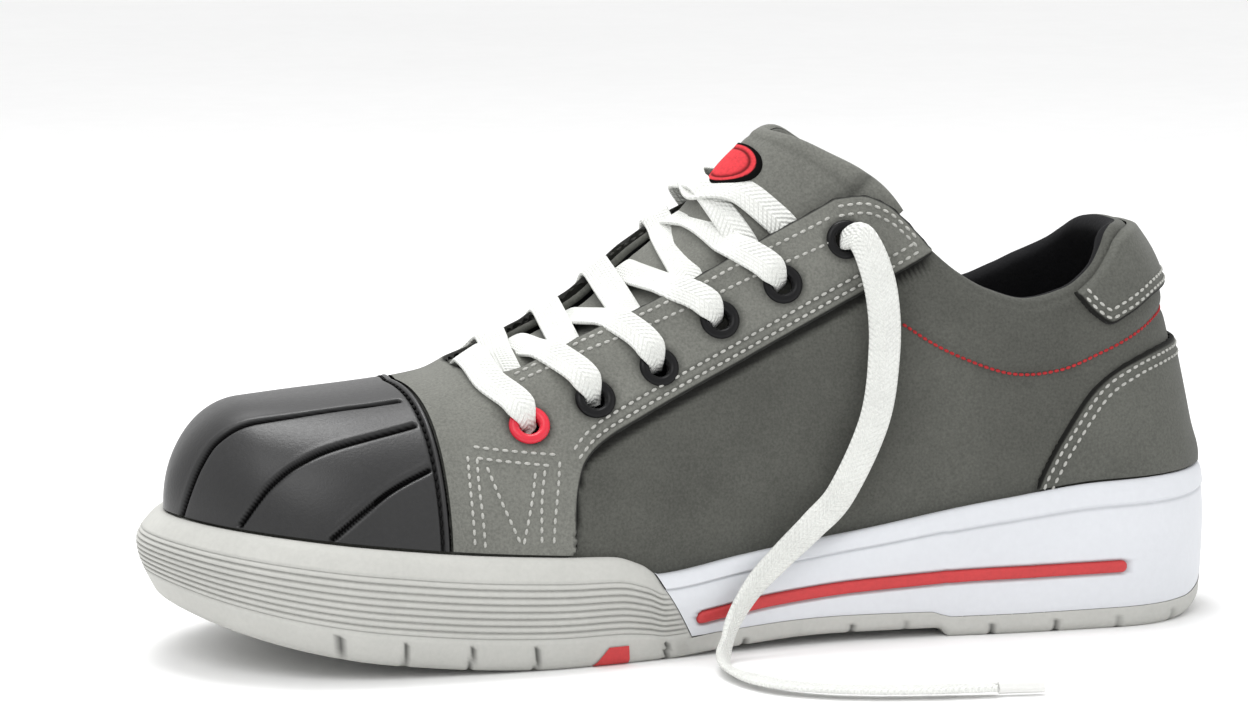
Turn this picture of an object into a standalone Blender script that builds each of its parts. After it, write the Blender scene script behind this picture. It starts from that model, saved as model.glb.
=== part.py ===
"""Low safety shoe for the right foot: cupsole, toe bumper, hollow upper, overlays, tongue and laces.

Tables and sizes are in millimetres in the shoe's own frame: "from_heel" runs from the back of the
sole to the toe, y is positive towards the outer (lateral) side and z is up from the floor. Meshes
are written in metres, with the toe at -X and the inner (medial) side at -Y.
"""

import math

import bmesh
import bpy
import numpy as np
from mathutils import Matrix, Vector

MM = 0.001
MEDIAL, LATERAL = -1, 1
RIGHT_ANGLE = math.pi / 2

# Driving sizes
SHOE_MIDDLE, SHOE_CENTRE = 149.3, 1.8  # from_heel and y of the middle of the sole's length and width
HEEL_BACK = 1.5  # back of the upper
TOE_TIP = 290.5  # front of the upper, under the toe cap
WALL = 2.2  # leather and lining of the upper
COLLAR_PAD = 6.0  # padded collar, wall included
PAD_DEPTH = 34.0  # the padding fades out this far below the top line
PAD_FRONT, PAD_FADE = 86.0, 16.0  # where the padding ends towards the throat
GAP = 0.3  # clearance between pieces that meet
OVERLAY = 1.3  # leather laid over the upper
OVERLAY_GAP = 0.4  # clearance under it
CAP_SHELL = 1.6  # moulded toe cap
OVERLAY_LIFT = 0.5  # overlays stop this far above the rim of the sole
INSOLE = 4.0

# Sections of the upper's outer face, back to front
SECTION_COLUMNS = ("from_heel", "medial", "lateral", "centre", "feather", "crown", "rise", "spread")
SECTIONS = (
    (1.5, 33.0, 33.0, 0.0, 25.0, 152.0, 2.3, 2.2),
    (30, 34.5, 35.0, 0.5, 24.5, 154.0, 2.3, 2.2),
    (60, 34.5, 36.5, 1.0, 23.5, 155.0, 2.2, 2.1),
    (90, 33.0, 38.0, 2.5, 21.0, 151.0, 2.1, 2.1),
    (112, 33.0, 40.0, 3.5, 19.0, 138.0, 2.0, 2.0),
    (130, 34.5, 42.5, 4.0, 17.5, 125.5, 1.95, 2.0),
    (150, 38.0, 46.0, 4.0, 16.0, 112.5, 1.95, 2.0),
    (175, 43.0, 50.0, 3.0, 15.0, 97.0, 2.1, 2.05),
    (200, 47.5, 53.0, 2.0, 15.0, 81.5, 2.25, 2.15),
    (220, 49.0, 53.0, 1.0, 15.8, 71.0, 2.4, 2.25),
    (240, 49.0, 51.0, -1.0, 17.5, 68.3, 2.5, 2.35),
    (260, 47.0, 46.5, -3.0, 20.5, 67.0, 2.6, 2.4),
    (278, 43.0, 40.0, -5.0, 24.0, 65.5, 2.6, 2.4),
    (290.5, 37.0, 32.0, -7.0, 27.0, 64.0, 2.4, 2.2),
)
HEEL_ROUND, HEEL_POWER = 34.0, 2.1  # plan rounding at the heel
TOE_ROUND, TOE_POWER = 46.0, 2.2  # plan rounding at the toe
SHOULDER_ROUND, SHOULDER_DROP = 20.0, 23.0  # side view rounding over the toe
TUCK, TUCK_HEIGHT = 0.06, 24.0  # how far the wall draws in at the feather edge

# Heel curve in side view: forward shift of the back of the upper at each height
HEEL_CURVE_COLUMNS = ("height", "forward")
HEEL_CURVE = ((20, 3.0), (43, 0.6), (52, 3.0), (65, 6.0), (85, 11.0), (98, 16.0), (107, 21.5),
              (113, 26.0))
HEEL_CURVE_REACH = 80.0

# The outer facing stands up at the throat, as in a shoe that is laced loosely
LIFT_COLUMNS = ("from_heel", "lift")
LIFT = ((98, 0.0), (112, 2.0), (120, 5.0), (130, 8.5), (145, 10.0), (157, 8.0), (165, 4.5), (173, 1.0),
        (180, 0.0))
LIFT_LOW, LIFT_FULL, LIFT_FALL = 0.45, 1.0, 1.08  # angles where it starts, is full and falls again

# Opening of the upper
THROAT_BASE, THROAT_TOP = 213.0, 112.0
THROAT_ROUND, THROAT_POWER = 16.0, 2.3
THROAT_COLUMNS = ("from_heel", "half_gap")
THROAT = ((112, 20.5), (132, 20.8), (150, 22.0), (175, 23.5), (213, 24.0))
TOPLINE_COLUMNS = ("from_heel", "medial", "lateral")
TOPLINE = (
    (1.5, 110.5, 110.5),
    (8, 110.8, 108.6),
    (16, 110.5, 105.0),
    (24, 108.5, 101.5),
    (30, 104.6, 99.5),
    (38.5, 98.0, 97.0),
    (47, 93.6, 94.0),
    (60, 91.2, 90.4),
    (71, 94.0, 91.5),
    (79.4, 98.5, 96.0),
    (87, 105.0, 103.5),
    (94, 113.0, 112.0),
    (98, 116.5, 116.0),
    (104, 118.6, 118.4),
    (112, 117.6, 117.6),
)

# Overlays
CAP_SEAM = 225.0  # rear edge of the toe cap at the wall
SEAM_LEAN = 4.0  # the seam runs this far forward on the ridge
FACING_COLUMNS = ("from_heel", "height")
FACING_EDGE = ((87, 103.0), (107, 92.5), (141, 76.0), (171, 62.5), (182, 57.0), (187, 52.5),
               (189.5, 46.0), (191, 36.0), (191.6, 20.0))
COUNTER_COLUMNS = ("from_heel", "height")
COUNTER_EDGE = ((1.5, 77.0), (15, 76.0), (28, 73.0), (40, 66.5), (52, 52.0), (57, 44.0), (59, 39.5))
TAB_COLUMNS = ("from_heel", "height")
TAB_EDGE = ((1.5, 91.0), (15, 89.5), (28, 85.0), (34, 83.0), (39, 85.5), (43, 89.5), (46, 93.0))

# Eyelets and laces
EYELETS = 6
EYELET_FRONT, EYELET_BACK = 201.0, 109.7
EYELET_COLUMNS = ("from_heel", "gap")
EYELET_ROW = ((109.7, 25.0), (128, 26.6), (146, 28.6), (164.5, 32.8), (182.7, 35.6), (201, 37.2))
EYELET_BORE, EYELET_BARREL, EYELET_FLANGE = 2.7, 3.5, 5.4
EYELET_HOLE = 3.9
FLANGE_BASE, FLANGE_TOP = 1.95, 3.0
BARREL_END = -2.3
LACE_WIDTH, LACE_THICK = 8.0, 1.6
LACE_HEIGHT = 4.8  # middle of the lace above the upper
LACE_SAMPLES = 9
CROSS_LIFT = 0.9  # how much higher the lace into the inner eyelet lies
BAR_LIFT = 0.6  # and the last lace, over the tongue
LACE_TUCK = 2.0  # the over lace stops this far inside the outer edge, and the under lace starts
LACE_START = 2.0  # this far outside the inner edge, below the other
# Crossings, front to back: from_heel at both edges of the throat for the lace into the inner eyelet
# (over) and for the one into the outer eyelet (under)
CROSSING_COLUMNS = ("over_medial", "over_lateral", "under_medial", "under_lateral")
CROSSINGS = (
    (208.0, 209.5, 203.0, 195.5),
    (192.0, 195.0, 186.5, 179.5),
    (174.0, 178.5, 169.0, 165.0),
    (157.5, 162.5, 151.8, 148.0),
    (138.0, 146.0, 138.5, 142.5),
)
# The last lace runs from the inner edge over the tongue to the outer top eyelet: across, from_heel
TOP_BAR = ((-17.0, 123.0), (-8.0, 136.0), (0.0, 142.5), (10.0, 140.0), (25.0, 127.0))
CORD_DIAMETER, CORD_STEP = 4.0, 10.0
# Free end of the lace, rows of from_heel, y, z from the top eyelet down to the floor
CORD_ROUTE = (
    (108.2, -29.5, 109.0),
    (105.5, -32.5, 103.0),
    (103.0, -33.5, 92.5),
    (102.5, -34.0, 78.5),
    (106.0, -36.5, 60.3),
    (115.5, -38.0, 41.5),
    (124.5, -41.0, 33.5),
    (134.0, -43.5, 26.0),
    (142.5, -46.5, 19.0),
    (149.0, -49.0, 10.5),
    (152.5, -53.5, 4.4),
    (155.5, -62.0, 2.4),
    (156.3, -74.0, 2.3),
    (152.0, -89.0, 2.3),
    (144.0, -98.0, 2.3),
    (132.0, -104.5, 2.3),
    (115.0, -109.0, 2.3),
    (98.0, -111.5, 2.3),
)
AGLET_LENGTH, AGLET_DIAMETER = 12.0, 3.4

# Tongue
TONGUE_BASE, TONGUE_BASE_SWEEP = 217.0, 9.0
TONGUE_TOP, TONGUE_TOP_SWEEP = 121.5, 29.0
TONGUE_DEPTH = 3.4  # its face below the upper's outer face
TONGUE_PAD = 5.0
TONGUE_FLAT, TONGUE_ROUND = 170.0, 142.0  # flat between the facings below, round above
VAMP_FLAT, VAMP_ROUND = 184.0, 204.0  # and round again under the vamp
FLARE_COLUMNS = ("across", "flare")
TONGUE_FLARE = ((0.0, 9.8), (0.25, 7.8), (0.5, 4.2), (0.7, 1.4), (0.8, 0.2), (1.0, 0.0))
TONGUE_FLARE_START = 0.62
TONGUE_COLUMNS = ("share", "half_width")
TONGUE_WIDTH = ((0.0, 31.0), (0.5, 30.5), (0.8, 28.5), (1.0, 25.0))
LABEL_FROM, LABEL_TO = 0.80, 0.93
LABEL_CENTRE, LABEL_SPAN = -0.12, 0.28  # a little towards the inner side
LABEL_THICK = 0.6

# Sole
BOTTOM_COLUMNS = ("from_heel", "height")
BOTTOM = (
    (-2, 6.0), (6, 2.2), (14, 0.4), (20, 0.0), (84, 0.0), (87, 2.4), (120, 2.6), (150, 1.2),
    (165, 0.0), (194, 0.0), (215, 1.0), (240, 3.6), (260, 7.0), (280, 12.0), (300, 19.0),
)
SOLE_COLUMNS = ("from_heel", "top", "lip", "swell", "foot")
SOLE_WALL = (
    (1.5, 41.5, 1.5, 3.0, 2.0),
    (40, 40.5, 3.0, 5.0, 4.0),
    (69, 37.0, 3.2, 5.5, 4.2),
    (111, 30.0, 3.5, 6.0, 4.5),
    (143, 25.8, 3.5, 6.5, 5.0),
    (168, 22.6, 3.5, 7.0, 5.0),
    (173, 25.5, 3.5, 7.0, 5.0),
    (181, 28.3, 3.5, 7.0, 5.0),
    (195, 29.3, 3.5, 7.5, 4.5),
    (225, 32.0, 3.8, 8.0, 4.0),
    (264, 36.8, 4.0, 9.0, 4.0),
    (290.5, 39.5, 4.0, 9.5, 4.0),
)
BELLY = 0.6  # share of the wall's height where it stands out most
EDGE_CHAMFER, EDGE_SHARE, FOOT_SHARE = 1.5, 0.06, 0.18
RIB_COUNT, RIB_DEPTH = 8, 0.7
RIB_LOW, RIB_HIGH = 0.29, 0.79
RIM_SHARE, RIM_STEP = 0.84, 0.6
# Line between the grey outsole and the white midsole, in side view
DIVIDE = ((-12, 13.0), (3, 9.0), (14, 6.0), (84, 5.6), (90, 7.2), (120, 7.6), (150, 6.4), (160.5, 5.4),
          (170, 23.0), (174, 60.0))
SOLE_SPAN = 90.0  # half width of the solids that divide the sole
STRIPE_COLUMNS = ("from_heel", "height")
STRIPE = ((33.5, 17.2), (69, 17.0), (108, 15.6), (137, 13.4), (159, 10.4))
STRIPE_HEIGHT, STRIPE_DEPTH, STRIPE_PROUD = 3.4, 1.8, 0.3
# Red flex line in plan, rows of y, from_heel
FLEX = ((-75, 182.0), (-4, 187.0), (75, 148.0))
FLEX_WIDTH, FLEX_TOP, FLEX_RECESS = 8.0, 4.6, 0.25
# Zigzag tread
TREAD_FIELDS = ((24.0, 78.0), (166.0, 262.0))
TREAD_PITCH, TREAD_WIDTH, TREAD_DEPTH = 10.0, 1.6, 2.0
TREAD_TOOTH, TREAD_SWING = 15.0, 4.5
TREAD_MARGIN = 9.0


def interpolate(table, columns, name, at):
    """Monotone cubic through one column of a table, against its first column."""
    xs = np.array([row[0] for row in table], float)
    ys = np.array([row[columns.index(name)] for row in table], float)
    at = min(max(at, xs[0]), xs[-1])
    slopes = np.diff(ys) / np.diff(xs)
    tangents = np.zeros(len(xs))
    tangents[0], tangents[-1] = slopes[0], slopes[-1]
    for k in range(1, len(xs) - 1):
        if slopes[k - 1] * slopes[k] > 0:
            tangents[k] = 2 * slopes[k - 1] * slopes[k] / (slopes[k - 1] + slopes[k])
    k = min(int(np.searchsorted(xs, at, side="right")) - 1, len(xs) - 2)
    h = xs[k + 1] - xs[k]
    t = (at - xs[k]) / h
    start = ys[k] * (1 + 2 * t) + tangents[k] * h * t
    end = ys[k + 1] * (3 - 2 * t) - tangents[k + 1] * h * (1 - t)
    return start * (1 - t) ** 2 + end * t * t


def smooth_step(value):
    value = min(max(value, 0.0), 1.0)
    return value * value * (3 - 2 * value)


def section(name, from_heel):
    return interpolate(SECTIONS, SECTION_COLUMNS, name, from_heel)


def rounding(distance, radius, power):
    """Superellipse that grows from 0 at an end to 1 one radius further in."""
    if distance >= radius:
        return 1.0
    return (1 - (1 - max(distance, 0.0) / radius) ** power) ** (1 / power)


def crown(from_heel):
    drop = SHOULDER_DROP * (1 - rounding(TOE_TIP - from_heel, SHOULDER_ROUND, 2.0))
    return section("crown", from_heel) - drop


def side_name(side):
    return "medial" if side == MEDIAL else "lateral"


def half_width(side, from_heel):
    half = section(side_name(side), from_heel) - side * section("centre", from_heel)
    ends = rounding(from_heel - HEEL_BACK, HEEL_ROUND, HEEL_POWER)
    return half * ends * rounding(TOE_TIP - from_heel, TOE_ROUND, TOE_POWER)


def upper_point(side, from_heel, angle):
    """Point on the outer face; angle runs from 0 at the feather edge to a right angle on the ridge."""
    feather, top = section("feather", from_heel), crown(from_heel)
    z = feather + (top - feather) * math.sin(angle) ** (2 / section("rise", from_heel))
    y = half_width(side, from_heel) * max(math.cos(angle), 0.0) ** (2 / section("spread", from_heel))
    low = max(0.0, 1 - (z - feather) / TUCK_HEIGHT)
    y *= 1 - TUCK * low * low
    if side == LATERAL:
        rise = smooth_step((angle - LIFT_LOW) / (LIFT_FULL - LIFT_LOW))
        rise *= 1 - smooth_step((angle - LIFT_FALL) / (RIGHT_ANGLE - LIFT_FALL))
        z += interpolate(LIFT, LIFT_COLUMNS, "lift", from_heel) * rise
    near = max(0.0, 1 - (from_heel - HEEL_BACK) / HEEL_CURVE_REACH)
    shift = interpolate(HEEL_CURVE, HEEL_CURVE_COLUMNS, "forward", z) * near * near
    return np.array([from_heel + shift, section("centre", from_heel) + side * y, z])


def upper_normal(side, from_heel, angle):
    step, turn = 0.05, 0.002
    middle = (HEEL_BACK + TOE_TIP) / 2
    ahead = from_heel + step if from_heel < middle else from_heel - step
    above = angle + turn if angle < RIGHT_ANGLE / 2 else angle - turn
    here = upper_point(side, from_heel, angle)
    along = upper_point(side, ahead, angle) - here
    across = upper_point(side, from_heel, above) - here
    normal = np.cross(along, across)
    core = np.array([min(max(from_heel, 45.0), 240.0), section("centre", from_heel), min(here[2], 45.0)])
    normal *= np.sign(normal @ (here - core))
    if half_width(side, from_heel) == 0 or angle == RIGHT_ANGLE:
        normal[1] = 0.0
    return normal / np.linalg.norm(normal)


def upper_at(side, from_heel, angle, offset=0.0):
    point = upper_point(side, from_heel, angle)
    return point + offset * upper_normal(side, from_heel, angle) if offset else point


def angle_at_height(from_heel, z):
    feather = section("feather", from_heel)
    share = min(max((z - feather) / (crown(from_heel) - feather), 0.0), 1.0)
    return math.asin(share ** (section("rise", from_heel) / 2))


def angle_at_gap(side, from_heel, gap):
    share = min(gap / max(half_width(side, from_heel), gap, 1e-6), 1.0)
    return math.acos(share ** (section("spread", from_heel) / 2))


def opening_angle(side, from_heel):
    """Where the section stops: at the top line, the throat edge or the closed ridge."""
    if from_heel >= THROAT_BASE:
        return RIGHT_ANGLE
    if from_heel >= THROAT_TOP:
        gap = interpolate(THROAT, THROAT_COLUMNS, "half_gap", from_heel)
        return angle_at_gap(side, from_heel, gap * rounding(THROAT_BASE - from_heel, THROAT_ROUND, THROAT_POWER))
    return angle_at_height(from_heel, interpolate(TOPLINE, TOPLINE_COLUMNS, side_name(side), from_heel))


def sole(name, from_heel):
    return interpolate(SOLE_WALL, SOLE_COLUMNS, name, from_heel)


def bottom(from_heel):
    return interpolate(BOTTOM, BOTTOM_COLUMNS, "height", from_heel)


def wall_offset(from_heel, share):
    """How far the sole's side stands out from the upper at a share of its height."""
    foot, swell, lip = (sole(name, from_heel) for name in ("foot", "swell", "lip"))
    if share < BELLY:
        return foot + (swell - foot) * math.sin(RIGHT_ANGLE * share / BELLY)
    return lip + (swell - lip) * math.cos(RIGHT_ANGLE * (share - BELLY) / (1 - BELLY))


def wall_point(side, from_heel, share, extra=0.0):
    top = sole("top", from_heel)
    angle = angle_at_height(from_heel, top)
    normal = upper_normal(side, from_heel, angle) * (1, 1, 0)
    normal /= np.linalg.norm(normal)
    point = upper_point(side, from_heel, angle) + normal * (wall_offset(from_heel, share) + extra)
    low = bottom(point[0])
    point[2] = low + share * (top - low)
    return point


def divide_at(height):
    """from_heel of the slanted joint between bumper and midsole."""
    (low_f, low_z), (high_f, high_z) = DIVIDE[-3], DIVIDE[-2]
    return low_f + (high_f - low_f) * (height - low_z) / (high_z - low_z)


def relief(side, from_heel, share, rib, rim):
    """Ribs of the bumper in front of the joint, and the rim step of the midsole behind it."""
    height = wall_point(side, from_heel, share)[2]
    front = smooth_step((from_heel - divide_at(height) - 2.0) / 5.0)
    return rib * front + rim * (1 - front)


def to_world(point):
    return Vector((SHOE_MIDDLE - point[0], point[1] - SHOE_CENTRE, point[2])) * MM


def direction_to_world(vector):
    return Vector((-vector[0], vector[1], vector[2])).normalized()


def cosine_steps(start, reach, count):
    """Stations that crowd together at a rounded end."""
    return [start + reach * (1 - math.cos(RIGHT_ANGLE * k / count)) for k in range(count + 1)]


HEEL_STATIONS = cosine_steps(HEEL_BACK, HEEL_ROUND, 6)
TOE_STATIONS = cosine_steps(TOE_TIP, -TOE_ROUND, 7)[::-1]
THROAT_STATIONS = cosine_steps(THROAT_BASE, -THROAT_ROUND, 5)[::-1]
LOBE_STATIONS = [87, 90, 94, 98, 102, 107, 112]
INSTEP_STATIONS = [122, 133, 146, 160, 173]
UPPER_STATIONS = (HEEL_STATIONS + [44, 54, 64, 74, 81] + LOBE_STATIONS + INSTEP_STATIONS + [185]
                  + THROAT_STATIONS + [218.5, CAP_SEAM, 232, 238.5] + TOE_STATIONS)
FACING_STATIONS = (LOBE_STATIONS + INSTEP_STATIONS + [182, 187, 189.5, 191, 191.6]
                   + THROAT_STATIONS + [218.5, CAP_SEAM - GAP])
CAP_STATIONS = [CAP_SEAM, 232, 238.5] + TOE_STATIONS
COUNTER_STATIONS = HEEL_STATIONS + [40, 46, 52, 55, 57.5, 59]
TAB_STATIONS = HEEL_STATIONS[:-1] + [31.5, 34, 37, 40, 43, 46]
SOLE_STATIONS = (HEEL_STATIONS + [47, 60, 72, 84, 87, 101, 115, 130, 145, 157, 163, 168, 173, 181, 194, 209,
                                  224, 236] + TOE_STATIONS)


def lean_station(from_heel, angle):
    """The toe cap's seam, and what lies beside it, leans forward towards the ridge."""
    near = smooth_step((from_heel - THROAT_BASE) / (CAP_SEAM - THROAT_BASE - 1))
    near *= 1 - smooth_step((from_heel - CAP_SEAM) / (TOE_TIP - TOE_ROUND - CAP_SEAM))
    return from_heel + SEAM_LEAN * near * (angle / RIGHT_ANGLE) ** 3


def finish_mesh(name, made):
    bmesh.ops.remove_doubles(made, verts=made.verts, dist=1e-6)
    bmesh.ops.dissolve_degenerate(made, edges=made.edges, dist=1e-6)
    mesh = bpy.data.meshes.new(name)
    made.to_mesh(mesh)
    made.free()
    return mesh


def sheet_mesh(name, stations, low, high, rows, offset):
    """Open sheet on both sides of the shoe, between two angles at each station."""
    made = bmesh.new()
    for side in (MEDIAL, LATERAL):
        grid = []
        for f in stations:
            start, end = low(side, f), high(side, f)
            angles = [start + (end - start) * k / rows for k in range(rows + 1)]
            points = [upper_at(side, lean_station(f, a), a, offset) for a in angles]
            grid.append([made.verts.new(to_world(p)) for p in points])
        for a, b in zip(grid, grid[1:]):
            for k in range(rows):
                quad = (a[k], a[k + 1], b[k + 1], b[k])
                made.faces.new(quad if side == MEDIAL else quad[::-1])
    return finish_mesh(name, made)


def add_object(name, mesh, material=None):
    made = bpy.data.objects.new(name, mesh)
    bpy.context.scene.collection.objects.link(made)
    if material:
        mesh.materials.append(material)
    mesh.shade_smooth()
    mesh.set_sharp_from_angle(angle=math.radians(35))
    return made


def paint(name, colour, roughness, metallic=0.0):
    made = bpy.data.materials.new(name)
    made.use_nodes = True
    shader = made.node_tree.nodes["Principled BSDF"]
    shader.inputs["Base Color"].default_value = (*colour, 1.0)
    shader.inputs["Roughness"].default_value = roughness
    shader.inputs["Metallic"].default_value = metallic
    return made


def solidify(made, thickness, outward):
    layer = made.modifiers.new("wall", "SOLIDIFY")
    layer.thickness = thickness * MM
    layer.offset = 1.0 if outward else -1.0
    layer.use_quality_normals = True
    return layer


def hide_tool(made):
    made.hide_render = True
    made.display_type = "WIRE"
    return made


def combine(made, tool, operation):
    step = made.modifiers.new(operation.lower(), "BOOLEAN")
    step.operation = operation
    step.solver = "EXACT"
    step.object = tool


def rim_angle(side, from_heel):
    return angle_at_height(from_heel, sole("top", from_heel) + OVERLAY_LIFT)


def height_edge(table, columns):
    """Angle function for an overlay's edge that is given by its height."""
    def edge(side, from_heel):
        height = max(interpolate(table, columns, "height", from_heel), sole("top", from_heel) + OVERLAY_LIFT)
        return angle_at_height(from_heel, height)
    return edge


def facing_low(side, from_heel):
    if from_heel > FACING_EDGE[-1][0]:
        return rim_angle(side, from_heel)
    return height_edge(FACING_EDGE, FACING_COLUMNS)(side, from_heel)


def ridge_angle(side, from_heel):
    return RIGHT_ANGLE


def feather_angle(side, from_heel):
    return 0.0


def eyelet_station(index):
    return EYELET_FRONT + (EYELET_BACK - EYELET_FRONT) * index / (EYELETS - 1)


def eyelet_place(side, index):
    """Centre on the upper and outward direction of one eyelet, in the shoe's frame."""
    f = eyelet_station(index)
    angle = angle_at_gap(side, f, interpolate(EYELET_ROW, EYELET_COLUMNS, "gap", f))
    return upper_point(side, f, angle), upper_normal(side, f, angle)


def standing_matrix(place, normal):
    turn = direction_to_world(normal).to_track_quat("Z", "Y").to_matrix().to_4x4()
    return Matrix.Translation(to_world(place)) @ turn


def eyelet_holes():
    made = bmesh.new()
    for side in (MEDIAL, LATERAL):
        for index in range(EYELETS):
            bmesh.ops.create_cone(
                made, cap_ends=True, segments=12, radius1=EYELET_HOLE * MM, radius2=EYELET_HOLE * MM,
                depth=12 * MM, matrix=standing_matrix(*eyelet_place(side, index)))
    mesh = bpy.data.meshes.new("eyelet_holes")
    made.to_mesh(mesh)
    made.free()
    return hide_tool(add_object("eyelet_holes", mesh))


def build_upper(leather, holes):
    sheet = sheet_mesh("upper", UPPER_STATIONS, feather_angle, opening_angle, 8, 0.0)
    made = add_object("upper", sheet, leather)
    padding = made.vertex_groups.new(name="padding")
    for vertex in made.data.vertices:
        f = SHOE_MIDDLE - vertex.co.x / MM
        side = MEDIAL if vertex.co.y < -SHOE_CENTRE * MM else LATERAL
        edge = interpolate(TOPLINE, TOPLINE_COLUMNS, side_name(side), f)
        below = max(0.0, edge - vertex.co.z / MM) / PAD_DEPTH
        share = smooth_step(1 - below) * smooth_step((PAD_FRONT - f) / PAD_FADE)
        padding.add([vertex.index], (WALL + (COLLAR_PAD - WALL) * share) / COLLAR_PAD, "REPLACE")
    wall = solidify(made, COLLAR_PAD, outward=False)
    wall.vertex_group = "padding"
    combine(made, holes, "DIFFERENCE")


def build_overlays(leather, cap_rubber, holes):
    cap = sheet_mesh("toe_cap", CAP_STATIONS, rim_angle, ridge_angle, 9, OVERLAY_GAP)
    solidify(add_object("toe_cap", cap, cap_rubber), CAP_SHELL, outward=True)
    facing = sheet_mesh("facing", FACING_STATIONS, facing_low, opening_angle, 8, OVERLAY_GAP)
    facing = add_object("facing", facing, leather)
    solidify(facing, OVERLAY, outward=True)
    combine(facing, holes, "DIFFERENCE")
    edge = height_edge(COUNTER_EDGE, COUNTER_COLUMNS)
    counter = sheet_mesh("heel_counter", COUNTER_STATIONS, rim_angle, edge, 4, OVERLAY_GAP)
    solidify(add_object("heel_counter", counter, leather), OVERLAY, outward=True)
    edge = height_edge(TAB_EDGE, TAB_COLUMNS)
    tab = sheet_mesh("heel_tab", TAB_STATIONS, edge, opening_angle, 3, OVERLAY_GAP)
    solidify(add_object("heel_tab", tab, leather), OVERLAY, outward=True)


def throat_point(from_heel, across, offset):
    """Point over the throat, across from the centre line: flat between the edges, round at the top."""
    def on_last(reach):
        side = MEDIAL if reach < 0 else LATERAL
        return upper_at(side, from_heel, angle_at_gap(side, from_heel, abs(reach)), offset)
    gap = interpolate(THROAT, THROAT_COLUMNS, "half_gap", from_heel)
    if abs(across) >= gap:
        return on_last(across)
    inner, outer = on_last(-gap), on_last(gap)
    flat = inner + (outer - inner) * (across + gap) / (2 * gap)
    curved = smooth_step((TONGUE_FLAT - from_heel) / (TONGUE_FLAT - TONGUE_ROUND))
    curved += smooth_step((from_heel - VAMP_FLAT) / (VAMP_ROUND - VAMP_FLAT))
    return flat + (on_last(across) - flat) * curved


def tongue_point(share, across, extra=0.0):
    """Point on the tongue's face; share runs up its length and across from -1 to 1."""
    base = TONGUE_BASE - TONGUE_BASE_SWEEP * across ** 2
    top = TONGUE_TOP - TONGUE_TOP_SWEEP * abs(across) ** 1.6
    f = base + (top - base) * share
    reach = across * interpolate(TONGUE_WIDTH, TONGUE_COLUMNS, "half_width", share)
    flare = interpolate(TONGUE_FLARE, FLARE_COLUMNS, "flare", abs(across))
    flare *= smooth_step((share - TONGUE_FLARE_START) / (1 - TONGUE_FLARE_START))
    return throat_point(f, reach, flare - TONGUE_DEPTH + extra)


def tongue_sheet(name, lengths, widths, extra):
    made = bmesh.new()
    grid = [[made.verts.new(to_world(tongue_point(a, b, extra))) for b in widths] for a in lengths]
    for first, second in zip(grid, grid[1:]):
        for k in range(len(widths) - 1):
            made.faces.new((first[k], second[k], second[k + 1], first[k + 1]))
    return finish_mesh(name, made)


def build_tongue(leather, label_colour):
    widths = [k / 5 for k in range(-5, 6)]
    lengths = [k / 12 for k in range(13)]
    solidify(add_object("tongue", tongue_sheet("tongue", lengths, widths, 0.0), leather), TONGUE_PAD, outward=False)
    lengths = [LABEL_FROM + (LABEL_TO - LABEL_FROM) * k / 4 for k in range(5)]
    widths = [LABEL_CENTRE + LABEL_SPAN * k / 3 for k in range(-3, 4)]
    label = tongue_sheet("tongue_label", lengths, widths, GAP)
    solidify(add_object("tongue_label", label, label_colour), LABEL_THICK, outward=True)


def ring_points(point_at, stations):
    """Closed loop of points around the shoe: inner side to the toe, then back on the outer side."""
    inner = [point_at(MEDIAL, f) for f in stations]
    outer = [point_at(LATERAL, f) for f in stations[1:-1]]
    return inner + outer[::-1]


def ring_solid(name, rings, stations):
    """Solid from stacked loops, closed by strips across its first and last loop."""
    made = bmesh.new()
    loops = [[made.verts.new(to_world(p)) for p in ring] for ring in rings]
    count = len(loops[0])
    for low, high in zip(loops, loops[1:]):
        for k in range(count):
            n = (k + 1) % count
            made.faces.new((low[k], high[k], high[n], low[n]))
    last = len(stations) - 1
    for loop, turned in ((loops[0], False), (loops[-1], True)):
        for k in range(last):
            corners = [loop[k], loop[k + 1], loop[(count - k - 1) % count], loop[(count - k) % count]]
            corners = list(dict.fromkeys(corners))
            made.faces.new(corners[::-1] if turned else corners)
    bmesh.ops.triangulate(made, faces=made.faces)
    return finish_mesh(name, made)


def cup_point(share):
    """Inside of the cup, from the rim (share 1) down to the floor (share 0)."""
    def point_at(side, from_heel):
        feather = section("feather", from_heel)
        height = feather + (sole("top", from_heel) - feather) * share
        point = upper_at(side, from_heel, angle_at_height(from_heel, height), GAP)
        if share == 0:
            point[2] = feather - GAP
        return point
    return point_at


def sole_blank(rib_count):
    rows = [(0.0, 0.0, 0.0), (EDGE_SHARE, 0.0, 0.0), (FOOT_SHARE, 0.0, 0.0)]
    half = (RIB_HIGH - RIB_LOW) / (2 * rib_count)
    for k in range(2 * rib_count + 1):
        rows.append((RIB_LOW + half * k, -RIB_DEPTH if k % 2 else 0.0, 0.0))
    rows += [(RIM_SHARE, 0.0, 0.0), (RIM_SHARE + 0.02, 0.0, RIM_STEP), (1.0, 0.0, RIM_STEP)]
    rings = []
    for share, rib, rim in rows:
        def point_at(side, f):
            chamfer = EDGE_CHAMFER if share == 0 else 0.0
            return wall_point(side, f, share, relief(side, f, share, rib, rim) - chamfer)
        rings.append(ring_points(point_at, SOLE_STATIONS))
    for share in (1.0, 0.5, 0.0):
        rings.append(ring_points(cup_point(share), SOLE_STATIONS))
    return ring_solid("sole_blank", rings, SOLE_STATIONS)


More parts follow.
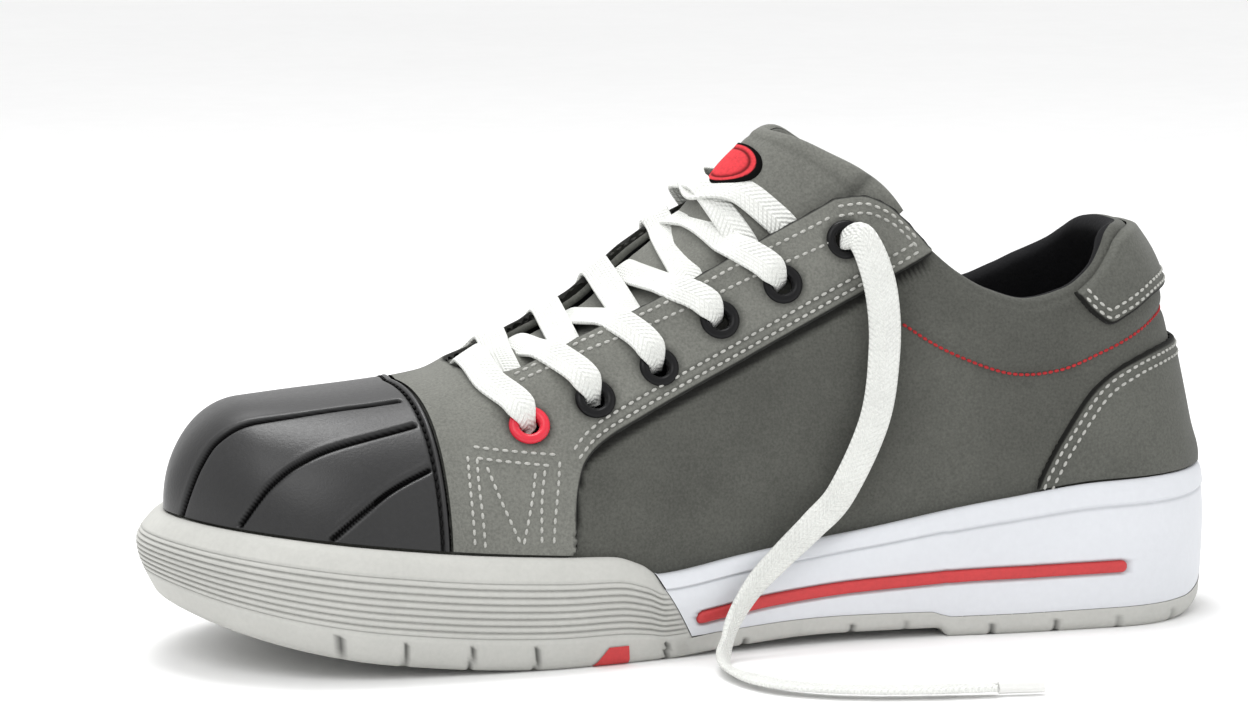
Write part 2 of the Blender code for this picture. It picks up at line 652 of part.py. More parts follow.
def side_prism(name, outline):
    """Solid with an outline in side view, right through the shoe from side to side."""
    made = bmesh.new()
    near = [made.verts.new(to_world((f, -SOLE_SPAN, z))) for f, z in outline]
    far = [made.verts.new(to_world((f, SOLE_SPAN, z))) for f, z in outline]
    made.faces.new(near)
    made.faces.new(far[::-1])
    for k in range(len(outline)):
        n = (k + 1) % len(outline)
        made.faces.new((near[n], near[k], far[k], far[n]))
    bmesh.ops.recalc_face_normals(made, faces=made.faces)
    mesh = bpy.data.meshes.new(name)
    made.to_mesh(mesh)
    made.free()
    return hide_tool(add_object(name, mesh))


def plan_prism(made, outline, low, high):
    """Adds an upright solid with an outline in plan to a bmesh."""
    under = [made.verts.new(to_world((f, y, low))) for f, y in outline]
    over = [made.verts.new(to_world((f, y, high))) for f, y in outline]
    made.faces.new(under)
    made.faces.new(over[::-1])
    for k in range(len(outline)):
        n = (k + 1) % len(outline)
        made.faces.new((under[n], under[k], over[k], over[n]))


def tool_from(name, made):
    bmesh.ops.recalc_face_normals(made, faces=made.faces)
    mesh = bpy.data.meshes.new(name)
    made.to_mesh(mesh)
    made.free()
    return hide_tool(add_object(name, mesh))


def band_outline(path, width):
    """Outline of a band of even width along from_heel, around a path of (from_heel, y) points."""
    return [(f + width / 2, y) for f, y in path] + [(f - width / 2, y) for f, y in path[::-1]]


def flex_tool(name, spare, low):
    made = bmesh.new()
    path = [(f, y) for y, f in FLEX]
    plan_prism(made, band_outline(path, FLEX_WIDTH + 2 * spare), low, FLEX_TOP + spare)
    return tool_from(name, made)


def tread_limits(from_heel):
    """Inner and outer ends of a tread groove at a station."""
    return (wall_point(MEDIAL, from_heel, 0.0)[1] + TREAD_MARGIN, wall_point(LATERAL, from_heel, 0.0)[1] - TREAD_MARGIN)


def tread_tool():
    made = bmesh.new()
    for start, end in TREAD_FIELDS:
        count = int((end - start) / TREAD_PITCH)
        for k in range(count + 1):
            f = start + (end - start) * k / count
            if flex_clash(f):
                continue
            inner, outer = tread_limits(f)
            turns = max(2, round((outer - inner) / TREAD_TOOTH * 2))
            path = []
            for n in range(turns + 1):
                y = inner + (outer - inner) * n / turns
                path.append((f + (TREAD_SWING if n % 2 else -TREAD_SWING) / 2, y))
            top = max(bottom(f - TREAD_SWING), bottom(f + TREAD_SWING)) + TREAD_DEPTH
            plan_prism(made, band_outline(path, TREAD_WIDTH), -5.0, top)
    return tool_from("tread_grooves", made)


def flex_clash(from_heel):
    """True where a straight row of tread would run into the red flex line."""
    rows = [f for y, f in FLEX]
    return min(rows) - 2 < from_heel < max(rows) + FLEX_WIDTH + TREAD_SWING


def stripe_ring(side, spare):
    """Loops of four corners along the red stripe, let into the midsole's wall."""
    first, last = STRIPE[0][0] - spare, STRIPE[-1][0] + spare
    loops = []
    steps = 14
    for k in range(steps + 1):
        f = first + (last - first) * k / steps
        height = interpolate(STRIPE, STRIPE_COLUMNS, "height", f)
        end = min(f - first, last - f)
        half = (STRIPE_HEIGHT / 2 + spare) * (0.55 + 0.45 * min(1.0, end / 2.0))
        low = bottom(f)
        corners = []
        for z, out in ((-half, -STRIPE_DEPTH - spare), (-half, 1.0), (half, 1.0), (half, -STRIPE_DEPTH - spare)):
            reach = out if out < 0 else (STRIPE_PROUD if spare == 0 else 4.0)
            share = (height + z - low) / (sole("top", f) - low)
            point = wall_point(side, f, share, reach)
            corners.append(point)
        loops.append(corners)
    return loops


def tube_mesh(name, loops):
    """Closed solid along a row of loops."""
    made = bmesh.new()
    rows = [[made.verts.new(to_world(p)) for p in loop] for loop in loops]
    count = len(rows[0])
    for a, b in zip(rows, rows[1:]):
        for k in range(count):
            n = (k + 1) % count
            made.faces.new((a[k], a[n], b[n], b[k]))
    made.faces.new(rows[0][::-1])
    made.faces.new(rows[-1])
    bmesh.ops.recalc_face_normals(made, faces=made.faces)
    bmesh.ops.triangulate(made, faces=made.faces)
    return finish_mesh(name, made)


def build_sole(grey, white, red):
    ribbed, plain = sole_blank(RIB_COUNT), sole_blank(1)
    lower = [(-12, -20)] + list(DIVIDE) + [(330, 60), (330, -20)]
    upper = [(-12, 70), (-12, DIVIDE[0][1] + GAP)]
    upper += [(f - GAP, z + GAP) for f, z in DIVIDE[1:]] + [(DIVIDE[-1][0] - GAP, 70)]
    outsole = add_object("outsole", ribbed, grey)
    combine(outsole, side_prism("outsole_bounds", lower), "INTERSECT")
    combine(outsole, flex_tool("flex_groove", GAP, -10.0), "DIFFERENCE")
    combine(outsole, tread_tool(), "DIFFERENCE")
    midsole = add_object("midsole", plain.copy(), white)
    combine(midsole, side_prism("midsole_bounds", upper), "INTERSECT")
    for side in (MEDIAL, LATERAL):
        name = "midsole_stripe_" + side_name(side)
        groove = hide_tool(add_object(name + "_groove", tube_mesh(name + "_groove", stripe_ring(side, GAP))))
        combine(midsole, groove, "DIFFERENCE")
        add_object(name, tube_mesh(name, stripe_ring(side, 0.0)), red)
    flex = add_object("flex_line", plain, red)
    combine(flex, flex_tool("flex_bounds", 0.0, FLEX_RECESS), "INTERSECT")


def build_insole(cloth):
    def level(height):
        def point_at(side, f):
            feather = section("feather", f)
            point = upper_at(side, f, angle_at_height(f, feather + height), -WALL - 2 * GAP)
            point[2] = feather + height
            return point
        return ring_points(point_at, SOLE_STATIONS)
    add_object("insole", ring_solid("insole", [level(0.1), level(INSOLE)], SOLE_STATIONS), cloth)


def eyelet_mesh():
    profile = [(EYELET_BORE, BARREL_END), (EYELET_BORE, FLANGE_TOP), (EYELET_FLANGE - 0.8, FLANGE_TOP),
               (EYELET_FLANGE, FLANGE_TOP - 0.6), (EYELET_FLANGE, FLANGE_BASE), (EYELET_BARREL, FLANGE_BASE),
               (EYELET_BARREL, BARREL_END)]
    made = bmesh.new()
    verts = [made.verts.new((r * MM, 0, h * MM)) for r, h in profile]
    edges = [made.edges.new((a, b)) for a, b in zip(verts, verts[1:] + verts[:1])]
    bmesh.ops.spin(made, geom=verts + edges, cent=(0, 0, 0), axis=(0, 0, 1), angle=2 * math.pi, steps=8,
                   use_merge=True)
    bmesh.ops.recalc_face_normals(made, faces=made.faces)
    return finish_mesh("eyelet", made)


def build_eyelets(black, red):
    for side in (MEDIAL, LATERAL):
        for index in range(EYELETS):
            name = "eyelet_%s_%d" % (side_name(side), index + 1)
            made = add_object(name, eyelet_mesh(), red if index == 0 else black)
            made.matrix_world = standing_matrix(*eyelet_place(side, index))


def lace_band(path, lift):
    """Flat lace along a path of (across, from_heel) rows over the throat, as loops of four corners."""
    start, end = path[0][0], path[-1][0]
    centres, normals = [], []
    for k in range(LACE_SAMPLES + 1):
        across = start + (end - start) * k / LACE_SAMPLES
        f = float(np.interp(across, *zip(*sorted(path))))
        centre = throat_point(f, across, LACE_HEIGHT + lift)
        normal = throat_point(f, across, LACE_HEIGHT + lift + 1) - centre
        centres.append(centre)
        normals.append(normal / np.linalg.norm(normal))
    loops = []
    for k, (centre, normal) in enumerate(zip(centres, normals)):
        along = centres[min(k + 1, LACE_SAMPLES)] - centres[max(k - 1, 0)]
        across = np.cross(along, normal)
        across *= LACE_WIDTH / 2 / np.linalg.norm(across)
        up = normal * LACE_THICK / 2
        loops.append([centre - across - up, centre + across - up, centre + across + up, centre - across + up])
    return loops


def lace_paths(index):
    """Paths of the two laces of one crossing, as rows of across, from_heel."""
    row = dict(zip(CROSSING_COLUMNS, CROSSINGS[index]))
    f = eyelet_station(index)
    reach = interpolate(EYELET_ROW, EYELET_COLUMNS, "gap", f)
    gap = interpolate(THROAT, THROAT_COLUMNS, "half_gap", f)
    over = ((-reach, f), (-gap, row["over_medial"]), (gap - LACE_TUCK, row["over_lateral"]))
    under = ((-gap - LACE_START, row["under_medial"]), (gap, row["under_lateral"]), (reach, f))
    return over, under


def build_laces(lace_cloth):
    """All crossings as one joined solid, from the front to the back."""
    bands = [(TOP_BAR, BAR_LIFT)]
    for index in reversed(range(len(CROSSINGS))):
        over, under = lace_paths(index)
        bands += [(under, 0.0), (over, CROSS_LIFT)]
    made = None
    for number, (path, lift) in enumerate(bands):
        mesh = tube_mesh("lace_band_%d" % number, lace_band(path, lift))
        if made is None:
            made = add_object("lace_crossings", mesh, lace_cloth)
        else:
            combine(made, hide_tool(add_object(mesh.name, mesh)), "UNION")


def smooth_route(points, step):
    """Points at even steps on a smooth curve through the route."""
    points = [np.array(p, float) for p in points]
    ends = [2 * points[0] - points[1]] + points + [2 * points[-1] - points[-2]]
    dense = []
    for a, b, c, d in zip(ends, ends[1:], ends[2:], ends[3:]):
        for k in range(20):
            t = k / 20
            dense.append(0.5 * (2 * b + (c - a) * t + (2 * a - 5 * b + 4 * c - d) * t ** 2
                                + (3 * b - a - 3 * c + d) * t ** 3))
    dense.append(points[-1])
    lengths = np.concatenate([[0], np.cumsum([np.linalg.norm(q - p) for p, q in zip(dense, dense[1:])])])
    count = round(lengths[-1] / step)
    marks = np.linspace(0, lengths[-1], count + 1)
    return [np.array([np.interp(m, lengths, [p[axis] for p in dense]) for axis in range(3)]) for m in marks]


def tube_curve(name, points, diameter, material):
    curve = bpy.data.curves.new(name, "CURVE")
    curve.dimensions = "3D"
    curve.bevel_depth = diameter / 2 * MM
    curve.bevel_resolution = 2
    curve.use_fill_caps = True
    spline = curve.splines.new("POLY")
    spline.points.add(len(points) - 1)
    for target, point in zip(spline.points, points):
        target.co = (*to_world(point), 1.0)
    curve.materials.append(material)
    made = bpy.data.objects.new(name, curve)
    bpy.context.scene.collection.objects.link(made)


def build_lace_end(lace_cloth, tip):
    place, normal = eyelet_place(MEDIAL, EYELETS - 1)
    route = smooth_route([place + normal * (FLANGE_TOP + 2 * GAP)] + list(CORD_ROUTE), CORD_STEP)
    tube_curve("lace_end", route, CORD_DIAMETER, lace_cloth)
    along = route[-1] - route[-2]
    along /= np.linalg.norm(along)
    start = route[-1] + along * GAP
    tube_curve("lace_aglet", [start, start + along * AGLET_LENGTH], AGLET_DIAMETER, tip)


def main():
    for old in list(bpy.data.objects):
        bpy.data.objects.remove(old, do_unlink=True)
    leather = paint("grey_leather", (0.11, 0.11, 0.1), 0.75)
    cap_rubber = paint("black_cap", (0.03, 0.03, 0.032), 0.5)
    grey_rubber = paint("grey_rubber", (0.58, 0.58, 0.55), 0.6)
    white_rubber = paint("white_rubber", (0.78, 0.8, 0.82), 0.5)
    red_rubber = paint("red_rubber", (0.62, 0.06, 0.07), 0.5)
    red_label = paint("red_label", (0.6, 0.05, 0.06), 0.6)
    black_cloth = paint("black_cloth", (0.02, 0.02, 0.02), 0.9)
    black_metal = paint("black_eyelet", (0.02, 0.02, 0.02), 0.35, 0.6)
    red_metal = paint("red_eyelet", (0.7, 0.03, 0.06), 0.35, 0.3)
    lace_cloth = paint("white_lace", (0.84, 0.85, 0.83), 0.85)
    tip = paint("lace_tip", (0.8, 0.8, 0.78), 0.3)
    holes = eyelet_holes()
    build_upper(leather, holes)
    build_overlays(leather, cap_rubber, holes)
    build_tongue(leather, red_label)
    build_sole(grey_rubber, white_rubber, red_rubber)
    build_insole(black_cloth)
    build_eyelets(black_metal, red_metal)
    build_laces(lace_cloth)
    build_lace_end(lace_cloth, tip)


main()
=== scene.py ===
import math

import bmesh
import bpy
import numpy as np
from mathutils import Matrix, Vector, kdtree


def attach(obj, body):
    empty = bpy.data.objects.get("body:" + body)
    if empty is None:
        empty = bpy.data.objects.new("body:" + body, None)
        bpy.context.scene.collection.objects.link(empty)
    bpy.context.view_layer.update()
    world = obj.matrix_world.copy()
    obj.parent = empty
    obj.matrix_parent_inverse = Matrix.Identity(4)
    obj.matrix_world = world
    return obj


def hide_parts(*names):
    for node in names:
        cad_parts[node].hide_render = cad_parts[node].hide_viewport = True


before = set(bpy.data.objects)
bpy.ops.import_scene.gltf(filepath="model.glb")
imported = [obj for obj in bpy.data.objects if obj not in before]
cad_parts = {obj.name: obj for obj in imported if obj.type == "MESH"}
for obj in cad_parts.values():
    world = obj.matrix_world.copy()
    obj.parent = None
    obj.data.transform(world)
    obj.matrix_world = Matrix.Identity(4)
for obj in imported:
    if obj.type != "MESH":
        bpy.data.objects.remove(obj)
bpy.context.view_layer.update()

# Tables are in millimetres in the shoe's own frame: f from the heel, y to the outer side, z up.
mm = 0.001
medial, lateral = -1, 1
sides = (medial, lateral)
sideNames = {medial: "medial", lateral: "lateral"}
rightAngle = math.pi / 2
# the world's origin in the shoe's frame
originF, originY = 149.3, 1.8
scene = bpy.context.scene


def addObject(name, data):
    made = bpy.data.objects.new(name, data)
    scene.collection.objects.link(made)
    return made


# Camera at the photo's angle
shot = {"target": (-0.0007, -0.0018, 0.060), "turn": 16.0, "height": 8.5, "distance": 1.2,
        "lens": 126.9, "sensor": 36.0, "shift": (-0.044, 0.038), "clip": (0.05, 50.0)}


def buildCamera():
    turn, height = math.radians(shot["turn"]), math.radians(shot["height"])
    back = Vector((-math.sin(turn) * math.cos(height), -math.cos(turn) * math.cos(height), math.sin(height)))
    data = bpy.data.cameras.new("camera")
    data.lens, data.sensor_width = shot["lens"], shot["sensor"]
    data.shift_x, data.shift_y = shot["shift"]
    data.clip_start, data.clip_end = shot["clip"]
    made = addObject("camera", data)
    made.location = Vector(shot["target"]) + back * shot["distance"]
    made.rotation_mode = "QUATERNION"
    made.rotation_quaternion = back.to_track_quat("Z", "Y")
    scene.camera = made


buildCamera()
print("stage: camera")


# The last, as in the part's source, for whole arrays of points
def curve(rows, column=1):
    xs = np.array([row[0] for row in rows], float)
    ys = np.array([row[column] for row in rows], float)
    slopes = np.diff(ys) / np.diff(xs)
    tangents = np.zeros(len(xs))
    tangents[0], tangents[-1] = slopes[0], slopes[-1]
    for k in range(1, len(xs) - 1):
        if slopes[k - 1] * slopes[k] > 0:
            tangents[k] = 2 * slopes[k - 1] * slopes[k] / (slopes[k - 1] + slopes[k])

    def at(x):
        x = np.clip(np.asarray(x, float), xs[0], xs[-1])
        k = np.clip(np.searchsorted(xs, x, side="right") - 1, 0, len(xs) - 2)
        h = xs[k + 1] - xs[k]
        t = (x - xs[k]) / h
        start = (ys[k] * (1 + 2 * t) + tangents[k] * h * t) * (1 - t) ** 2
        return start + (ys[k + 1] * (3 - 2 * t) - tangents[k + 1] * h * (1 - t)) * t * t
    return at


def smooth(value):
    value = np.clip(value, 0.0, 1.0)
    return value * value * (3 - 2 * value)


def grow(distance, radius, power):
    left = np.clip(1 - np.maximum(distance, 0) / radius, 0, 1)
    return (1 - left ** power) ** (1 / power)


def bell(distance, width):
    return np.exp(-(distance / width) ** 2)


def dome(distance):
    # a quarter circle, 1 in the middle and 0 at distance 1
    return np.sqrt(np.maximum(0, 1 - distance ** 2))


def unit(vectors):
    return vectors / np.maximum(np.linalg.norm(vectors, axis=-1, keepdims=True), 1e-12)


def asArrays(*values):
    return np.broadcast_arrays(*(np.asarray(value, float) for value in values))


def runLengths(points):
    return np.concatenate([[0], np.cumsum(np.linalg.norm(np.diff(points, axis=0), axis=1))])


def interpRows(marks, lengths, rows):
    return np.stack([np.interp(marks, lengths, column) for column in rows.T], -1)


sections = (
    (1.5, 33.0, 33.0, 0.0, 25.0, 152.0, 2.3, 2.2),
    (30, 34.5, 35.0, 0.5, 24.5, 154.0, 2.3, 2.2),
    (60, 34.5, 36.5, 1.0, 23.5, 155.0, 2.2, 2.1),
    (90, 33.0, 38.0, 2.5, 21.0, 151.0, 2.1, 2.1),
    (112, 33.0, 40.0, 3.5, 19.0, 138.0, 2.0, 2.0),
    (130, 34.5, 42.5, 4.0, 17.5, 125.5, 1.95, 2.0),
    (150, 38.0, 46.0, 4.0, 16.0, 112.5, 1.95, 2.0),
    (175, 43.0, 50.0, 3.0, 15.0, 97.0, 2.1, 2.05),
    (200, 47.5, 53.0, 2.0, 15.0, 81.5, 2.25, 2.15),
    (220, 49.0, 53.0, 1.0, 15.8, 71.0, 2.4, 2.25),
    (240, 49.0, 51.0, -1.0, 17.5, 68.3, 2.5, 2.35),
    (260, 47.0, 46.5, -3.0, 20.5, 67.0, 2.6, 2.4),
    (278, 43.0, 40.0, -5.0, 24.0, 65.5, 2.6, 2.4),
    (290.5, 37.0, 32.0, -7.0, 27.0, 64.0, 2.4, 2.2),
)
heelBack, toeTip, throatBase, throatTop, capSeam, seamLean = 1.5, 290.5, 213.0, 112.0, 225.0, 4.0
# how far the rounding of heel, toe and throat reaches
heelReach, toeReach, throatReach = 34.0, 46.0, 16.0
lastForm = {"toeDrop": 23.0, "toeDropReach": 20.0, "tuck": 0.06, "tuckHeight": 24.0, "heelFade": 80.0}
medialAt, lateralAt, centreAt, featherAt, crownBase, riseAt, spreadAt = (
    curve(sections, k) for k in range(1, 8))
heelShift = curve(((20, 3.0), (43, 0.6), (52, 3.0), (65, 6.0), (85, 11.0), (98, 16.0), (107, 21.5),
                   (113, 26.0)))
throatGap = curve(((112, 20.5), (132, 20.8), (150, 22.0), (175, 23.5), (213, 24.0)))
# the outer side stands a little higher beside the tongue
outerLift = curve(((98, 0), (112, 2), (120, 5), (130, 8.5), (145, 10), (157, 8), (165, 4.5), (173, 1),
                   (180, 0)))
topRows = ((1.5, 110.5, 110.5), (8, 110.8, 108.6), (16, 110.5, 105.0), (24, 108.5, 101.5), (30, 104.6, 99.5),
           (38.5, 98.0, 97.0), (47, 93.6, 94.0), (60, 91.2, 90.4), (71, 94.0, 91.5), (79.4, 98.5, 96.0),
           (87, 105.0, 103.5), (94, 113.0, 112.0), (98, 116.5, 116.0), (104, 118.6, 118.4),
           (112, 117.6, 117.6))
topMedial, topLateral = curve(topRows, 1), curve(topRows, 2)
soleRows = ((1.5, 41.5, 1.5, 3.0, 2.0), (40, 40.5, 3.0, 5.0, 4.0), (69, 37.0, 3.2, 5.5, 4.2),
            (111, 30.0, 3.5, 6.0, 4.5), (143, 25.8, 3.5, 6.5, 5.0), (168, 22.6, 3.5, 7.0, 5.0),
            (173, 25.5, 3.5, 7.0, 5.0), (181, 28.3, 3.5, 7.0, 5.0), (195, 29.3, 3.5, 7.5, 4.5),
            (225, 32.0, 3.8, 8.0, 4.0), (264, 36.8, 4.0, 9.0, 4.0), (290.5, 39.5, 4.0, 9.5, 4.0))
soleTop, soleLip, soleSwell, soleFoot = (curve(soleRows, k) for k in range(1, 5))
bottomAt = curve(((-2, 6.0), (6, 2.2), (14, 0.4), (20, 0.0), (84, 0.0), (87, 2.4), (120, 2.6), (150, 1.2),
                  (165, 0.0), (194, 0.0), (215, 1.0), (240, 3.6), (260, 7.0), (280, 12.0), (300, 19.0)))


def topLine(side, f):
    return np.where(side < 0, topMedial(f), topLateral(f))


def crownAt(f):
    return crownBase(f) - lastForm["toeDrop"] * (1 - grow(toeTip - f, lastForm["toeDropReach"], 2.0))


def halfWidth(side, f):
    half = np.where(side < 0, medialAt(f), lateralAt(f)) - side * centreAt(f)
    return half * grow(f - heelBack, heelReach, 2.1) * grow(toeTip - f, toeReach, 2.2)


def lastPoint(side, f, angle):
    feather = featherAt(f)
    z = feather + (crownAt(f) - feather) * np.sin(angle) ** (2 / riseAt(f))
    y = halfWidth(side, f) * np.maximum(np.cos(angle), 0) ** (2 / spreadAt(f))
    low = np.maximum(0, 1 - (z - feather) / lastForm["tuckHeight"])
    y = y * (1 - lastForm["tuck"] * low * low)
    rise = smooth((angle - 0.45) / 0.55) * (1 - smooth((angle - 1.08) / (rightAngle - 1.08)))
    z = z + np.where(np.asarray(side) > 0, outerLift(f) * rise, 0.0)
    near = np.maximum(0, 1 - (f - heelBack) / lastForm["heelFade"])
    return np.stack([f + heelShift(z) * near * near, centreAt(f) + side * y, z], -1)


def lastNormal(side, f, angle):
    side, f, angle = asArrays(side, f, angle)
    ahead = np.where(f < 146, f + 0.05, f - 0.05)
    above = np.where(angle < rightAngle / 2, angle + 0.002, angle - 0.002)
    here = lastPoint(side, f, angle)
    normal = np.cross(lastPoint(side, ahead, angle) - here, lastPoint(side, f, above) - here)
    core = np.stack([np.clip(f, 45.0, 240.0), centreAt(f), np.minimum(here[..., 2], 45.0)], -1)
    normal *= np.sign(np.sum(normal * (here - core), -1))[..., None]
    flat = (halfWidth(side, f) == 0) | (angle == rightAngle)
    normal[..., 1] = np.where(flat, 0.0, normal[..., 1])
    return unit(normal)


def lastAt(side, f, angle, offset):
    return lastPoint(side, f, angle) + np.asarray(offset)[..., None] * lastNormal(side, f, angle)


def angleAtHeight(f, z):
    share = np.clip((z - featherAt(f)) / (crownAt(f) - featherAt(f)), 0, 1)
    return np.arcsin(share ** (riseAt(f) / 2))


def angleAtGap(side, f, gap):
    share = np.minimum(gap / np.maximum(np.maximum(halfWidth(side, f), gap), 1e-6), 1.0)
    return np.arccos(share ** (spreadAt(f) / 2))


def openingAngle(side, f):
    gap = throatGap(f) * grow(throatBase - f, throatReach, 2.3)
    upper = np.where(f >= throatTop, angleAtGap(side, f, gap), angleAtHeight(f, topLine(side, f)))
    return np.where(f >= throatBase, rightAngle, upper)


def leanStation(f, angle):
    near = smooth((f - throatBase) / (capSeam - throatBase - 1))
    near = near * (1 - smooth((f - capSeam) / (toeTip - toeReach - capSeam)))
    return f + seamLean * near * (angle / rightAngle) ** 3


def rimAngle(f):
    return angleAtHeight(f, soleTop(f) + 0.5)


def throatPoint(f, across, offset):
    f, across, offset = asArrays(f, across, offset)

    def onLast(reach):
        side = np.where(reach < 0, medial, lateral)
        return lastAt(side, f, angleAtGap(side, f, np.abs(reach)), offset)
    gap = throatGap(f)
    inner, outer = onLast(-gap), onLast(gap)
    flat = inner + (outer - inner) * ((across + gap) / (2 * gap))[..., None]
    curved = smooth((163.0 - f) / 24.0) + smooth((f - 184.0) / 20.0)
    curved = np.where(np.abs(across) >= gap, 1.0, curved)
    return flat + (onLast(across) - flat) * curved[..., None]


def throatNormal(f, across):
    return unit(throatPoint(f, across, 1.0) - throatPoint(f, across, 0.0))


def wallOffset(f, share):
    low = soleFoot(f) + (soleSwell(f) - soleFoot(f)) * np.sin(rightAngle * np.clip(share / 0.6, 0, 1))
    high = soleLip(f) + (soleSwell(f) - soleLip(f)) * np.cos(rightAngle * np.clip((share - 0.6) / 0.4, 0, 1))
    return np.where(share < 0.6, low, high)


def wallPoint(side, f, share, extra=0.0):
    side, f, share, extra = asArrays(side, f, share, extra)
    top = soleTop(f)
    angle = angleAtHeight(f, top)
    normal = unit(lastNormal(side, f, angle) * (1, 1, 0))
    point = lastPoint(side, f, angle) + normal * (wallOffset(f, share) + extra)[..., None]
    low = bottomAt(point[..., 0])
    point[..., 2] = low + share * (top - low)
    return point


def toWorld(points):
    points = np.asarray(points, float)
    return np.stack([originF - points[..., 0], points[..., 1] - originY, points[..., 2]], -1) * mm


def smoothRoute(points, step):
    points = [np.array(p, float) for p in points]
    ends = [2 * points[0] - points[1]] + points + [2 * points[-1] - points[-2]]
    dense = []
    for a, b, c, d in zip(ends, ends[1:], ends[2:], ends[3:]):
        for t in np.arange(0, 1, 0.05):
            dense.append(0.5 * (2 * b + (c - a) * t + (2 * a - 5 * b + 4 * c - d) * t ** 2
                                + (3 * b - a - 3 * c + d) * t ** 3))
    dense = np.array(dense + [points[-1]])
    lengths = runLengths(dense)
    marks = np.linspace(0, lengths[-1], max(2, round(lengths[-1] / step)) + 1)
    return interpRows(marks, lengths, dense)


# Materials
def addBump(made, height, strength, distance):
    nodes, links = made.node_tree.nodes, made.node_tree.links
    bump = nodes.new("ShaderNodeBump")
    bump.inputs["Strength"].default_value = strength
    bump.inputs["Distance"].default_value = distance
    links.new(height, bump.inputs["Height"])
    links.new(bump.outputs["Normal"], nodes["Principled BSDF"].inputs["Normal"])


def surface(name, colour, roughness, blotch=(60, 0.1), grain=(1500, 0.12), bump=(2200, 0.12), coat=0.0,
            sheen=0.0, gloss=0.3, darken=0.9, dark=(0.006, 0.006, 0.006)):
    made = bpy.data.materials.new(name)
    made.use_nodes = True
    nodes, links = made.node_tree.nodes, made.node_tree.links
    shader = nodes["Principled BSDF"]
    place = nodes.new("ShaderNodeTexCoord")

    def noise(scale, detail):
        made = nodes.new("ShaderNodeTexNoise")
        made.inputs["Scale"].default_value = scale
        made.inputs["Detail"].default_value = detail
        made.inputs["Roughness"].default_value = 0.6
        links.new(place.outputs["Object"], made.inputs["Vector"])
        return made.outputs["Fac"]

    def spread(source, amount):
        made = nodes.new("ShaderNodeMapRange")
        made.inputs["From Min"].default_value, made.inputs["From Max"].default_value = 0.3, 0.7
        made.inputs["To Min"].default_value, made.inputs["To Max"].default_value = 1 - amount, 1 + amount
        links.new(source, made.inputs["Value"])
        return made.outputs["Result"]

    def scaleBy(source, factor):
        made = nodes.new("ShaderNodeVectorMath")
        made.operation = "SCALE"
        links.new(source, made.inputs[0])
        links.new(factor, made.inputs["Scale"])
        return made.outputs["Vector"]

    def times(source, factor):
        made = nodes.new("ShaderNodeMath")
        made.operation = "MULTIPLY"
        made.inputs[1].default_value = factor
        links.new(source, made.inputs[0])
        return made.outputs[0]

    base = nodes.new("ShaderNodeRGB")
    base.outputs[0].default_value = (*colour, 1)
    fine = noise(grain[0], 2.0)
    tint = scaleBy(base.outputs[0], spread(noise(blotch[0], 3.0), blotch[1]))
    tint = scaleBy(tint, spread(fine, grain[1]))
    # shade attribute: painted shade in grooves, seams, notches and under edges, and real dark marks like the
    # label's print and black cut edges
    shade = nodes.new("ShaderNodeAttribute")
    shade.attribute_name = "shade"
    mix = nodes.new("ShaderNodeMix")
    mix.data_type = "RGBA"
    links.new(times(shade.outputs["Fac"], darken), mix.inputs["Factor"])
    links.new(tint, mix.inputs[6])
    mix.inputs[7].default_value = (*dark, 1)
    links.new(mix.outputs[2], shader.inputs["Base Color"])
    links.new(times(spread(fine, 0.08), roughness), shader.inputs["Roughness"])
    addBump(made, noise(bump[0], 3.0), bump[1], 0.0006)
    for key, value in (("Coat Weight", coat), ("Coat Roughness", 0.25), ("Sheen Weight", sheen),
                       ("Sheen Roughness", 0.45), ("Specular IOR Level", gloss)):
        shader.inputs[key].default_value = value
    # where the shade attribute darkens, the gloss goes too, so painted shade shows no reflection
    shadeGloss = nodes.new("ShaderNodeMapRange")
    shadeGloss.inputs["To Min"].default_value, shadeGloss.inputs["To Max"].default_value = gloss, 0.0
    links.new(shade.outputs["Fac"], shadeGloss.inputs["Value"])
    links.new(shadeGloss.outputs["Result"], shader.inputs["Specular IOR Level"])
    return made


def woven(name, colour, pitch):
    # flat braid: slanted ribs that meet on the middle line, from the band's own coordinates
    made = surface(name, colour, 0.85, (90, 0.05), (1800, 0.08), (1500, 0.1), sheen=0.1, gloss=0.15)
    nodes, links = made.node_tree.nodes, made.node_tree.links
    coordinates = nodes.new("ShaderNodeAttribute")
    coordinates.attribute_name = "band"
    parts = nodes.new("ShaderNodeSeparateXYZ")
    links.new(coordinates.outputs["Vector"], parts.inputs[0])

    def math2(operation, a, b):
        step = nodes.new("ShaderNodeMath")
        step.operation = operation
        for socket, value in zip(step.inputs, (a, b)):
            if isinstance(value, float):
                socket.default_value = value
            elif value is not None:
                links.new(value, socket)
        return step.outputs[0]
    fold = math2("ABSOLUTE", parts.outputs["Y"], None)
    along = math2("ADD", parts.outputs["X"], math2("MULTIPLY", fold, 0.9))
    wave = math2("SINE", math2("MULTIPLY", along, 2 * math.pi / pitch), None)
    across = math2("SINE", math2("MULTIPLY", parts.outputs["Y"], 2 * math.pi / 0.9), None)
    height = math2("ADD", wave, math2("MULTIPLY", across, 0.45))
    addBump(made, height, 0.5, 0.0005)
    return made


